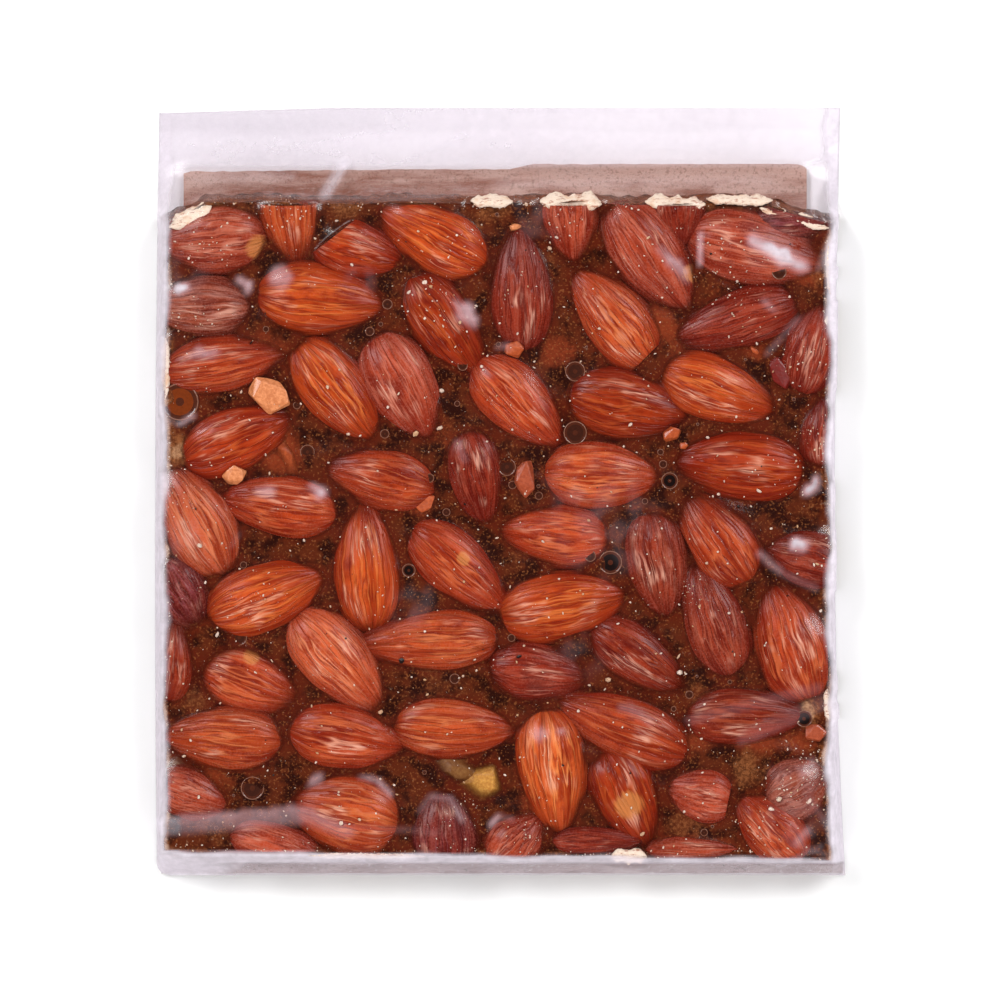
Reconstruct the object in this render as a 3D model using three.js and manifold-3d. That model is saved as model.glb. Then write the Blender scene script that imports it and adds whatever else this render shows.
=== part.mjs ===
// A square slab of almond chikki, whole and broken almonds set in hard dark jaggery, lying on its
// backing card in a tight clear pouch with a flat flap beyond one edge. The pouch is sealed, so slab,
// card and film are one closed solid with the almond crowns standing out of it.
// Millimetres, +Z up. The origin is the middle of the pouch on the surface that it lies on.

import * as THREE from 'three';
import { mergeVertices } from 'three/addons/utils/BufferGeometryUtils.js';
import Module from 'manifold-3d';

const wasm = await Module();
wasm.setup();

// ---- driving dimensions ----

const POUCH = {
  wide: 130, // across the widest bulge of the side margins
  high: 144.6, // from the bottom fold to the end of the flap
  film: 0.6, // both films of the flap and margins together, with the air between them
  corner: 2.4, // radius of the corners
  waist: 2, // how far the right margin is drawn in at its narrowest
  bowRight: -6, // where along Y that is
  taper: 0.8, // how far the left margin is drawn in at the flap
  bowLeft: -16, // where along Y the left margin is widest
  slope: 1, // how far the flap's end falls off at its left corner
};

const SLAB = {
  left: -63.1,
  right: 61.6,
  bottom: -68.4,
  top: 54,
  level: 8.7, // caramel between the almonds
  cornerLeft: [7.6, 4.2], // the corner broken off at the top left, along X and along Y
  cornerRight: [13, 3.6],
  wobble: 0.55, // unevenness of the cut sides
};

const WRAP = { side: 1.2, bottom: 2.6, top: 6.4, power: 1.8, steps: 3 }; // film from slab top to margin

const CARD = { wide: 117.4, centre: -1, end: 60.9, step: 1, stepAt: 7, thick: 1.5, corner: 1.5 };

const ALMOND = { thickness: 0.62, taper: 0.22, around: 12, along: 8 }; // thickness is a share of width

const CHUNK = { height: 3.2, sunk: 0.9 }; // bare pieces of nut, in the caramel up to `sunk` from their middle

// Each almond: x and y of its middle, length, width, direction of its tip in degrees from +X, height of
// its crown, and for a broken one the direction and distance of the face where it broke.
const ALMONDS = [
  [-54.6, 47.7, 20.3, 11.5, 185, 11],
  [-39.6, 52, 18.8, 11.2, -82, 10.6],
  [-27, 45.4, 17.4, 11, -16, 11, 128, 4.6],
  [-12.7, 47.7, 22.9, 12.3, 152, 11.2],
  [-33.6, 36, 24.4, 13.4, -5, 11.4],
  [-56.9, 34.7, 20.3, 11.4, 180, 10.6],
  [-51.8, 24, 23.5, 10.8, 10, 10.9],
  [-30.8, 18.9, 23, 12.6, -52, 11.3],
  [-18.3, 19.6, 22.5, 12.9, -62, 11.3],
  [-10.2, 31.3, 22.2, 12, -55, 11],
  [3.9, 37.9, 23.5, 12.4, 92, 11],
  [13.1, 50.7, 16, 10.5, -85, 10.6],
  [28.1, 44.1, 24.5, 13.6, -55, 11.4],
  [21.2, 32.6, 23.2, 12.6, 130, 11, -45, 9.6],
  [47.3, 45.8, 24, 13.8, -12, 11.2],
  [55.4, 50.7, 16, 7, 0, 10.2],
  [33.4, 51.8, 12, 10, -85, 10.6],
  [44.1, 32, 24, 11, 196, 10.9],
  [58.6, 27, 18, 11, 75, 10.9],
  [40.9, 19, 22.8, 12, -20, 11.1],
  [23.8, 16.1, 22.9, 13.2, -10, 11.2],
  [3.3, 16.6, 22.2, 12.6, -45, 11.3],
  [-22.8, 2.5, 21.2, 11.2, 168, 11],
  [-4.4, 2.7, 18.4, 10.6, -78, 10.8],
  [19.1, 3.1, 21.8, 12.4, -2, 11.3],
  [44.7, 4.8, 25, 13, 176, 11.2],
  [61.2, 11.2, 14, 11, 90, 10.7],
  [-49.4, 9.7, 20.3, 11.3, 15, 10.8],
  [-57, -5.5, 22.5, 13.6, 118, 11.3],
  [-41.3, -2.7, 22, 11.4, 172, 11.3],
  [-43.9, -19.6, 23, 12.8, 20, 11.4],
  [-25.1, -14, 24, 12.8, 94, 11.2],
  [-7.8, -14.4, 23, 11.6, -41, 11.2],
  [9.9, -8.2, 21.2, 11.8, 175, 10.8],
  [11.8, -21.3, 24.4, 12.6, 10, 11.3],
  [29.4, -13.8, 20.6, 11.8, -80, 10.9],
  [40.7, -8.7, 20.5, 13.4, 127, 11.1, 205, 5.6],
  [40, -24.2, 22, 11.6, 108, 11],
  [54.6, -28.1, 23.5, 14.8, 109, 11.2],
  [57.2, -12.5, 15.5, 10.5, 165, 10.8],
  [-60.3, -19.3, 15, 11.8, -60, 10.7],
  [-62.1, -31.7, 16.5, 10, 85, 10.4],
  [-46.7, -36, 19.8, 12.4, -20, 10.3],
  [-30.4, -31.8, 23.6, 13.2, -48, 11.3],
  [-13.4, -28.1, 25.6, 11.4, 182, 11.1],
  [7.2, -33.9, 19.4, 11.6, -6, 10.3],
  [26, -31.2, 21.4, 11.4, -35, 10.5],
  [-52.2, -46.3, 22.8, 12.1, 177, 11.2],
  [-28.9, -46.2, 22, 11.8, -10, 11.2],
  [-8.7, -44.3, 22.8, 11.6, -2, 11],
  [9.7, -52.5, 23.6, 13.2, -82, 11.4],
  [23.2, -44.3, 26, 12.6, 158, 11.2],
  [46, -42.2, 23, 10.8, 0, 10.8],
  [23.6, -57.4, 19.6, 12.4, -66, 10.8],
  [37.5, -56.9, 13.5, 10, 168, 10.8, -12, 5.4],
  [55.9, -55.4, 13, 12.6, 30, 11.2],
  [50.7, -63.3, 17, 11, 135, 10.9],
  [-29.2, -60.4, 21.4, 15, 168, 11.3],
  [-10.4, -63.6, 16, 12.6, 95, 11.2],
  [2.9, -65.5, 12.5, 10.8, 45, 10.9],
  [-58, -56.9, 15, 9.8, -20, 10.8],
  [-41.8, -66.8, 18, 9, -15, 10.6],
  [17.8, -65.5, 17, 5, 0, 10],
];

// Each bare piece of nut that shows between the almonds: x, y, length, width, turn in degrees.
const CHUNKS = [
  [-43.3, 18, 9, 7.8, -30],
  [-49.9, 3.1, 4.8, 4.6, 20],
  [-40, 6.9, 10, 4.6, -62],
  [2.7, 49.6, 4.6, 2.6, 10],
  [2.5, 26.6, 4.4, 4, 0],
  [4.2, 2.5, 7.6, 5.4, -80],
  [52.2, 23.2, 9, 4.2, -75],
  [32, 10.8, 4.2, 3.2, 20],
  [-4.8, -53.9, 12, 7, -10],
  [-61.2, -51, 5, 4.6, 0],
  [58.9, -45.2, 5.4, 5, 0],
];

// ---- helpers ----

const rad = THREE.MathUtils.degToRad;

// a closed solid from a three.js geometry
function solid(geometry) {
  const bare = geometry.index ? geometry.toNonIndexed() : geometry.clone();
  bare.deleteAttribute('normal');
  bare.deleteAttribute('uv');
  const merged = mergeVertices(bare, 1e-4);
  return new wasm.Manifold(new wasm.Mesh({
    numProp: 3,
    vertProperties: new Float32Array(merged.attributes.position.array),
    triVerts: new Uint32Array(merged.index.array),
  }));
}

// a three.js geometry from a closed solid
function geometryOf(body) {
  const mesh = body.getMesh();
  const geometry = new THREE.BufferGeometry();
  geometry.setAttribute('position', new THREE.BufferAttribute(new Float32Array(mesh.vertProperties), 3));
  geometry.setIndex(new THREE.BufferAttribute(new Uint32Array(mesh.triVerts), 1));
  geometry.computeVertexNormals();
  return geometry;
}

// moves every point of a geometry by a function of the point
function reshape(geometry, move) {
  const position = geometry.attributes.position;
  const point = new THREE.Vector3();
  for (let i = 0; i < position.count; i++) {
    point.fromBufferAttribute(position, i);
    move(point);
    position.setXYZ(i, point.x, point.y, point.z);
  }
  return geometry;
}

function plate(outline, depth, steps = 1) {
  return new THREE.ExtrudeGeometry(new THREE.Shape(outline), { depth, steps, bevelEnabled: false });
}

function addAll(bodies) {
  return bodies.reduce((whole, body) => whole.add(body));
}

// points along a straight side from one end up to, but without, the other
function side(from, to, count) {
  const points = [];
  for (let i = 0; i < count; i++) {
    points.push(new THREE.Vector2().lerpVectors(from, to, i / count));
  }
  return points;
}

// evenly spaced values from one to another, both included
function heights(from, to, count) {
  return Array.from({ length: count + 1 }, (_, i) => from + ((to - from) * i) / count);
}

// ---- the film: a flat sheet with slightly bowed margins ----

function film() {
  const half = { x: POUCH.wide / 2, y: POUCH.high / 2 };
  const foot = -half.y + POUCH.corner;
  const shoulder = half.y - POUCH.slope;
  const outline = new THREE.Shape();
  outline.absarc(-half.x + POUCH.corner, foot, POUCH.corner, Math.PI, 1.5 * Math.PI);
  outline.lineTo(half.x, -half.y);
  for (const y of heights(-half.y, half.y, 12)) {
    const bow = (y - POUCH.bowRight) / (half.y + (y < POUCH.bowRight ? 1 : -1) * POUCH.bowRight);
    outline.lineTo(half.x - POUCH.waist * (1 - (y < POUCH.bowRight ? 1 : 0.5) * bow * bow), y);
  }
  outline.lineTo(-half.x / 2, half.y);
  for (const y of heights(shoulder, foot, 12)) {
    const bow = (y - POUCH.bowLeft) / (shoulder - POUCH.bowLeft);
    outline.lineTo(-half.x + POUCH.taper * bow * bow, y);
  }
  return solid(plate(outline.getPoints(6), POUCH.film));
}

// ---- the backing card, its far end cut with a low step ----

function card() {
  const left = CARD.centre - CARD.wide / 2;
  const right = CARD.centre + CARD.wide / 2;
  const outline = new THREE.Shape();
  outline.moveTo(left, SLAB.bottom);
  outline.lineTo(right, SLAB.bottom);
  outline.lineTo(right, CARD.end - 1.6 * CARD.corner);
  outline.quadraticCurveTo(right, CARD.end - CARD.corner / 2, right - 3 * CARD.corner, CARD.end);
  outline.lineTo(CARD.stepAt, CARD.end);
  outline.lineTo(CARD.stepAt - 4, CARD.end - CARD.step);
  outline.lineTo(left, CARD.end - 1.6 * CARD.step);
  return solid(plate(outline.getPoints(4), CARD.thick));
}

// ---- the slab's uneven outline, counter-clockwise from its bottom left ----

function slabOutline(grow = 0) {
  const [cutX, cutY] = SLAB.cornerLeft;
  const [farX, farY] = SLAB.cornerRight;
  const corners = [
    [SLAB.left, SLAB.bottom],
    [SLAB.right, SLAB.bottom],
    [SLAB.right, SLAB.top - farY],
    [SLAB.right - farX, SLAB.top],
    [SLAB.left + cutX, SLAB.top],
    [SLAB.left, SLAB.top - cutY],
  ].map(([x, y]) => new THREE.Vector2(x, y));
  const points = corners.flatMap((corner, i) => {
    const next = corners[(i + 1) % corners.length];
    return side(corner, next, Math.max(1, Math.round(corner.distanceTo(next) / 9)));
  });
  for (const point of points) {
    const wave = Math.sin(0.31 * point.x + 0.17 * point.y) + 0.6 * Math.sin(0.43 * point.y - 0.29 * point.x);
    const centre = new THREE.Vector2((SLAB.left + SLAB.right) / 2, (SLAB.bottom + SLAB.top) / 2);
    const outward = point.clone().sub(centre);
    point.addScaledVector(outward.normalize(), grow + SLAB.wobble * wave);
  }
  return points;
}

// ---- the slab under its film: from the caramel's level the film runs down to the margins ----

function slab() {
  const body = plate(slabOutline(), SLAB.level, WRAP.steps);
  return solid(reshape(body, (point) => {
    const slack = 1 - (point.z / SLAB.level) ** (1 / WRAP.power);
    const edgeX = point.x > 0 ? SLAB.right : -SLAB.left;
    const edgeY = point.y > 0 ? SLAB.top : -SLAB.bottom;
    point.x *= 1 + (slack * WRAP.side) / edgeX;
    point.y *= 1 + (slack * (point.y > 0 ? WRAP.top : WRAP.bottom)) / edgeY;
  }));
}

// ---- an almond: an egg flattened to a lens, slimmer towards its tip ----

function almond([x, y, long, wide, tip, crown, breakTurn, breakAt]) {
  const thick = wide * ALMOND.thickness;
  const shape = new THREE.SphereGeometry(1, ALMOND.around, ALMOND.along).rotateZ(-Math.PI / 2);
  reshape(shape, (point) => {
    const slim = 1 - ALMOND.taper * point.x;
    point.set((point.x * long) / 2, (point.y * slim * wide) / 2, (point.z * slim * thick) / 2);
  });
  shape.rotateZ(rad(tip));
  if (breakAt !== undefined) {
    const outward = new THREE.Vector3(Math.cos(rad(breakTurn)), Math.sin(rad(breakTurn)), 0);
    reshape(shape, (point) => {
      const beyond = point.dot(outward) - breakAt;
      if (beyond > 0) point.addScaledVector(outward, -0.98 * beyond);
    });
  }
  shape.translate(x, y, crown - thick / 2);
  return solid(shape);
}

// ---- a bare piece of nut, a low faceted lump ----

function chunk([x, y, long, wide, turn]) {
  const shape = new THREE.IcosahedronGeometry(1, 0);
  shape.scale(long / 2, wide / 2, CHUNK.height / 2);
  shape.rotateZ(rad(turn)).translate(x, y, SLAB.level + CHUNK.sunk - CHUNK.height / 4);
  return solid(shape);
}

// ---- the sealed pouch ----

function sealedPouch() {
  const nuts = addAll([...ALMONDS.map(almond), ...CHUNKS.map(chunk)]);
  const bounds = solid(plate(slabOutline(), 2 * SLAB.level));
  const crowns = nuts.intersect(bounds);
  return film().add(card()).add(slab()).add(crowns);
}

const pouch = new THREE.Mesh(
  geometryOf(sealedPouch()),
  new THREE.MeshStandardMaterial({ color: 0x9c4a26, roughness: 0.35, metalness: 0 }),
);
pouch.name = 'sealed_pouch';

const chikki = new THREE.Group();
chikki.add(pouch);

export default chikki;
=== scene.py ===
"""Almond chikki in a tight clear pouch: the looks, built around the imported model.

The slab lies flat, shown side up. Almonds, bare pieces of nut, caramel, crumbs, bubbles, backing card and
film are separate pieces, and together they stand for the one solid of the sealed pouch. Lengths in the
lists are millimetres in the model's own frame: X to the right, Y towards the pouch's flap, Z up.
"""

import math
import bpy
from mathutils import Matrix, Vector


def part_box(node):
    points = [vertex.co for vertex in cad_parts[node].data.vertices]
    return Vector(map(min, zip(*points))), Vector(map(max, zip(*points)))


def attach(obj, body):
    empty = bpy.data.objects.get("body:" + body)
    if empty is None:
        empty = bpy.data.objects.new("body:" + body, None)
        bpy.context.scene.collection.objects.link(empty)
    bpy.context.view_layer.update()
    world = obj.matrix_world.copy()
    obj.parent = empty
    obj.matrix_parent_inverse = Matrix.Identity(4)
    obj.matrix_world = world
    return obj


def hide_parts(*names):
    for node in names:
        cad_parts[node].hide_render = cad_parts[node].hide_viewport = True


bl_info = {
    "name": "Almond Chikki Pouch",
    "version": (1, 0, 0),
    "blender": (4, 5, 0),
    "location": "3D View > Sidebar > Chikki",
    "description": "Builds a slab of almond chikki in its clear pouch, on a pale floor",
    "category": "Add Mesh",
}

import bmesh
import bpy
import numpy as np
from bpy.props import FloatProperty, FloatVectorProperty, IntProperty, PointerProperty
from mathutils import Vector
from mathutils.bvhtree import BVHTree

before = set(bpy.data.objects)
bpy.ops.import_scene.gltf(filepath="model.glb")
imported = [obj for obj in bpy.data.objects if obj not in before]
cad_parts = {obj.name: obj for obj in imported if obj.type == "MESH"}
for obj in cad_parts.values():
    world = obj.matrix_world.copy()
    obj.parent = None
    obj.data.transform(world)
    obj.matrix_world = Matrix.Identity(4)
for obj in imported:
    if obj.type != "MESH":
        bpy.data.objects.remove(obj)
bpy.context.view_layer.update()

MM = 0.001
NODE = "sealed_pouch"
NUTS = ("whole_almonds", "cut_almonds", "bare_pieces")  # pieces that stand in the caramel
LOW, HIGH = (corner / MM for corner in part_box(NODE))  # the pouch's box in millimetres

# ---- the slab's outline, in millimetres: as in the model ----

POUCH_WAIST, POUCH_BOW_RIGHT = 2.0, -6.0  # the right margin's waist, and where along Y it is
POUCH_TAPER, POUCH_BOW_LEFT = 0.8, -16.0  # the left margin's taper, and where along Y it is widest
POUCH_CORNER, POUCH_SLOPE = 2.4, 1.0

SLAB_LEFT, SLAB_RIGHT = -63.1, 61.6
SLAB_BOTTOM, SLAB_TOP = -68.4, 54.0
CORNER_LEFT, CORNER_RIGHT = (7.6, 4.2), (13.0, 3.6)  # broken off along X and along Y

CARD_WIDE, CARD_CENTRE, CARD_END, CARD_STEP, CARD_STEP_AT = 117.4, -1.0, 61.7, 1.0, 7.0
CARD_LOW, CARD_HIGH = 0.15, 1.05
FOLD_HIGH = -69.8  # how far up the pouch's bottom is folded

ALMOND_FLATNESS, ALMOND_TAPER = 0.62, 0.22
HALF_LONG, HALF_WIDE = 0.515, 0.525  # an almond's half sizes, grown a little for its taper and wrinkles
FULL_TURN = 6.28  # radians, for a flake's random turn
FLAKE_NOISE = 2600.0  # scale of a flake's unevenness, to the metre
EDGE = 0.93  # share of the slab's half size past which a rim point belongs to that side
BESIDE = -9.0  # a height below everything, for places beside a piece
MENISCUS = 0.35  # the caramel stands this much over its level, and this much under a crown it coats

# x, y, length, width, tip's direction in degrees, crown's height, tone, then for a broken almond the
# direction and distance of the face where it broke
ALMONDS = [
    (-54.4, 47.2, 21.0, 13.0, 185, 11.0, "brick"), (-39.6, 52.0, 18.8, 11.2, -82, 10.6, "amber"),
    (-27.0, 45.4, 17.4, 11.0, -16, 11.0, "umber", 128, 4.6), (-12.7, 47.7, 22.9, 12.3, 152, 11.2, "bright"),
    (-33.6, 36.0, 24.4, 13.4, -5, 11.4, "bright"), (-56.9, 34.7, 20.3, 11.4, 180, 10.6, "dull"),
    (-51.8, 24.0, 23.5, 10.8, 10, 10.9, "rust"), (-30.8, 18.9, 23.0, 12.6, -52, 11.3, "bright"),
    (-18.3, 19.6, 22.5, 12.9, -62, 11.3, "brick"), (-10.2, 31.3, 22.2, 12.0, -55, 11.0, "umber"),
    (3.9, 37.9, 23.5, 12.4, 92, 11.0, "deep"), (13.1, 50.7, 16.0, 10.5, -85, 10.6, "brick"),
    (28.1, 44.1, 24.5, 13.6, -55, 11.4, "brick"), (21.2, 32.6, 23.2, 12.6, 130, 11.0, "amber", -45, 9.6),
    # the maroon almond at 55.4, 50.7 lies sunk, and its dark tone is also painted shade for the hollow
    # under the cut top edge
    (48.2, 45.4, 26.5, 13.8, -12, 11.2, "brick"), (55.4, 50.7, 16.0, 7.0, 0, 10.2, "maroon"),
    (33.4, 51.8, 12.0, 10.0, -85, 10.6, "deep"), (44.1, 32.0, 24.0, 11.0, 196, 10.9, "deep"),
    (58.6, 27.0, 18.0, 11.0, 75, 10.9, "deep"), (40.9, 19.0, 22.8, 12.0, -20, 11.1, "bright"),
    (23.8, 16.1, 22.9, 13.2, -10, 11.2, "umber"), (3.3, 16.6, 22.2, 12.6, -45, 11.3, "rust"),
    (-22.8, 2.5, 21.2, 11.2, 168, 11.0, "rust"), (-4.4, 2.7, 18.4, 10.6, -78, 10.8, "deep"),
    (19.1, 3.1, 21.8, 12.4, -2, 11.3, "amber"), (44.7, 4.8, 25.0, 13.0, 176, 11.2, "umber"),
    (61.2, 11.2, 14.0, 11.0, 90, 10.7, "deep"), (-49.2, 9.9, 22.5, 13.0, 22, 10.8, "umber"),
    (-57.0, -5.5, 22.5, 13.6, 118, 11.3, "pale"), (-41.3, -2.7, 22.0, 11.4, 172, 11.3, "rust"),
    (-43.9, -19.6, 23.0, 12.8, 20, 11.4, "bright"), (-25.1, -14.0, 24.0, 12.8, 94, 11.2, "bright"),
    (-7.8, -14.4, 23.0, 11.6, -41, 11.2, "rust"), (9.9, -8.2, 21.2, 11.8, 175, 10.8, "rust"),
    (11.8, -21.3, 24.4, 12.6, 10, 11.3, "bright"), (29.4, -13.8, 20.6, 11.8, -80, 10.9, "dusky"),
    (40.7, -8.7, 20.5, 13.4, 127, 11.1, "rust", 205, 5.6), (40.0, -24.2, 22.0, 11.6, 108, 11.0, "dusky"),
    (54.6, -28.1, 23.5, 14.8, 109, 11.2, "rust"), (57.2, -12.5, 15.5, 10.5, 165, 10.8, "deep"),
    (-60.3, -19.3, 15.0, 11.8, -60, 10.7, "maroon"), (-62.1, -31.7, 16.5, 10.0, 85, 10.4, "dark"),
    (-46.7, -36.0, 19.8, 12.4, -20, 10.3, "rust"), (-30.4, -31.8, 23.6, 13.2, -48, 11.3, "pale"),
    (-13.4, -28.1, 25.6, 11.4, 182, 11.1, "amber"), (7.2, -33.9, 19.4, 11.6, -6, 10.3, "deep"),
    (26.0, -31.2, 21.4, 11.4, -35, 10.5, "dark"), (-52.2, -46.3, 22.8, 12.1, 177, 11.2, "amber"),
    (-28.9, -46.2, 22.0, 11.8, -10, 11.2, "rust"), (-8.7, -44.3, 22.8, 11.6, -2, 11.0, "amber"),
    (9.7, -52.5, 23.6, 13.2, -82, 11.4, "gold"), (23.2, -44.3, 26.0, 12.6, 158, 11.2, "rust"),
    (46.0, -42.2, 23.0, 10.8, 0, 10.8, "dark"), (23.6, -57.4, 19.6, 12.4, -66, 10.8, "umber"),
    (37.5, -56.9, 13.5, 10.0, 168, 10.8, "brick", -12, 5.4), (55.9, -55.4, 13.0, 12.6, 30, 11.2, "dull"),
    (50.7, -63.3, 17.0, 11.0, 135, 10.9, "rust"), (-29.2, -60.4, 21.4, 15.0, 168, 11.3, "amber"),
    (-10.4, -63.6, 16.0, 12.6, 95, 11.2, "maroon"), (2.9, -65.5, 12.5, 10.8, 45, 10.9, "brick"),
    (-58.0, -56.9, 15.0, 9.8, -20, 10.8, "brick"), (-41.8, -66.8, 18.0, 9.0, -15, 10.6, "brick"),
    (17.8, -65.5, 17.0, 5.0, 0, 10.0, "deep"), (36.0, -67.0, 17.0, 4.6, 0, 10.0, "brick"),
]

# each tone of almond skin: its colour, linear, and how much pale bloom it has
TONES = {
    "gold": ((0.66, 0.109, 0.017), 0.08),
    "bright": ((0.57, 0.074, 0.009), 0.08),
    "amber": ((0.52, 0.074, 0.014), 0.15),
    "pale": ((0.60, 0.105, 0.028), 0.30),
    "rust": ((0.45, 0.053, 0.010), 0.12),
    "umber": ((0.38, 0.035, 0.004), 0.05),
    "brick": ((0.42, 0.056, 0.018), 0.30),
    "dusky": ((0.28, 0.031, 0.009), 0.20),
    "deep": ((0.27, 0.024, 0.007), 0.12),
    "dark": ((0.26, 0.024, 0.005), 0.10),
    "dull": ((0.33, 0.070, 0.031), 0.40),
    "maroon": ((0.17, 0.019, 0.013), 0.20),
}

# where an almond's skin is rubbed off: x, y, radius
BARE_PATCHES = [
    (-45.4, 45.6, 2.2), (24.0, -58.6, 2.4), (-46.6, -30.8, 1.4), (35.6, 41.0, 1.6), (-7.0, -12.7, 1.2),
]

# bare pieces of nut: x, y, length, width, turn in degrees, crown's height, colour
CHUNKS = [
    (-43.3, 18.0, 9.6, 7.4, -30, 10.7, "tan"), (-49.9, 3.1, 4.8, 4.6, 20, 10.6, "tan"),
    (-40.0, 6.9, 10.0, 4.6, -62, 9.1, "orange"), (2.7, 49.6, 4.6, 2.6, 10, 9.2, "tan"),
    (2.5, 26.6, 4.4, 4.0, 0, 10.4, "orange"), (4.7, 2.4, 8.0, 4.8, -85, 10.4, "rusty"),
    (52.6, 22.3, 8.4, 4.6, -68, 9.8, "red"), (-14.2, -2.4, 5.8, 3.0, 38, 9.4, "orange"),
    (34.3, 8.6, 2.4, 1.8, 0, 9.7, "orange"), (47.6, 26.4, 4.6, 2.2, -50, 9.3, "orange"),
    (32.0, 10.8, 4.2, 3.2, 20, 10.4, "orange"), (-7.6, -52.6, 11.5, 7.0, -25, 8.9, "olive"),
    (-3.2, -54.4, 11.0, 9.6, -20, 9.15, "mustard"), (-61.0, -51.2, 4.8, 4.2, 0, 8.9, "dim"),
    (58.9, -45.2, 5.4, 4.2, 0, 10.2, "rusty"),
]
CHUNK_TALL = 3.2

CHUNK_COLOURS = {
    "tan": (0.78, 0.30, 0.12),
    "orange": (0.50, 0.10, 0.025),
    "rusty": (0.42, 0.085, 0.032),
    "red": (0.19, 0.010, 0.005),
    "dim": (0.36, 0.20, 0.115),
    "mustard": (0.62, 0.31, 0.06),
    "olive": (0.26, 0.115, 0.03),
}

# bubbles at the caramel's surface: x, y, radius, and what shows in them; a "dark" one shows painted shade
# in its hollow
BUBBLES = [
    (31.7, 2.0, 1.5, "dark"), (20.6, -13.3, 2.1, "dark"), (14.0, 11.0, 2.1, "clear"),
    (14.0, 22.5, 1.8, "clear"), (-60.1, 16.8, 3.4, "amber"), (-36.2, 7.4, 1.3, "clear"),
    (52.2, 41.1, 1.3, "clear"), (1.2, 4.6, 1.6, "clear"), (16.8, -12.1, 1.0, "clear"),
    (-49.0, -27.4, 1.4, "clear"), (56.9, -42.6, 1.5, "dark"), (-46.5, -55.6, 2.1, "clear"),
    (-21.2, 35.1, 0.9, "clear"), (-24.5, 30.0, 0.8, "clear"), (-21.7, 10.8, 0.8, "clear"),
    (-13.3, 2.5, 0.8, "clear"), (7.2, -0.8, 0.7, "clear"), (35.4, -38.1, 0.7, "clear"),
    (-7.1, 23.6, 0.9, "clear"), (-8.6, -35.1, 0.9, "clear"), (-17.2, -14.8, 1.2, "dark"),
]

SMALL_BUBBLES = 180  # drawn at random; those that would lie on a nut are left out

# The lip is thin caramel with a painted highlight round the rim; the wall, on the inner lip and the centre,
# and the dark bowl are painted shade in the hollow.
BUBBLE_COLOURS = {
    "lip": (0.30, 0.13, 0.08),
    "wall": (0.09, 0.020, 0.008),
    "dark": (0.010, 0.003, 0.002),
    "clear": (0.055, 0.013, 0.006),
    "amber": (0.22, 0.038, 0.005),
}

# larger crumbs of bare nut: x, y, size
CRUMBS = [
    (-56.3, -10.1, 2.0), (-15.9, 10.8, 2.2), (-11.4, 11.9, 1.6), (-32.4, 19.5, 1.7), (33.4, -30.9, 1.2),
    (33.6, -33.9, 1.9), (20.2, -35.3, 1.8), (-22.5, -41.3, 1.5), (-14.2, -35.3, 1.3),
    (24.3, 12.5, 1.1), (38.8, 10.1, 1.1), (48.4, 0.1, 1.5), (40.9, -0.5, 1.0), (55.4, 5.7, 0.8),
    (-11.0, 18.9, 1.5), (-19.1, 18.3, 1.1), (-3.5, 23.4, 1.0), (-48.6, 18.7, 1.0), (2.2, 11.6, 1.1),
    (16.5, -5.4, 1.4), (38.6, -13.4, 1.1), (-34.3, -49.0, 1.0), (-56.5, -57.2, 1.2),
    (-26.4, -61.4, 1.1), (-29.8, -62.1, 1.4), (-14.2, 39.2, 1.2), (-13.1, 38.4, 1.3),
    (-17.2, 37.3, 1.3), (-14.2, 32.4, 1.0), (-7.6, 31.7, 1.4), (18.5, 30.5, 1.3), (59.3, -50.5, 1.0),
    (57.8, -58.0, 1.5), (52.2, -57.6, 1.7), (50.7, -59.5, 1.2), (59.3, -13.6, 1.1), (26.6, -64.2, 1.4),
    (-53.1, -26.8, 1.3), (10.5, 47.6, 1.6), (9.2, 45.6, 1.4),
]

# larger burnt specks: x, y, size
BURNT = [
    (-54.6, -36.0, 0.6), (-18.5, -31.7, 1.9), (3.5, -30.9, 1.5), (-6.7, -2.4, 1.0), (-46.7, 27.9, 0.9),
    (44.6, -2.8, 1.0), (39.4, 44.5, 0.8), (-29.0, -27.5, 0.7),
]

SMALL_SPECKS = 60  # burnt ones, drawn at random
SIDE_SPECKS = 420  # pale ones along the slab's sides, drawn at random
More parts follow.
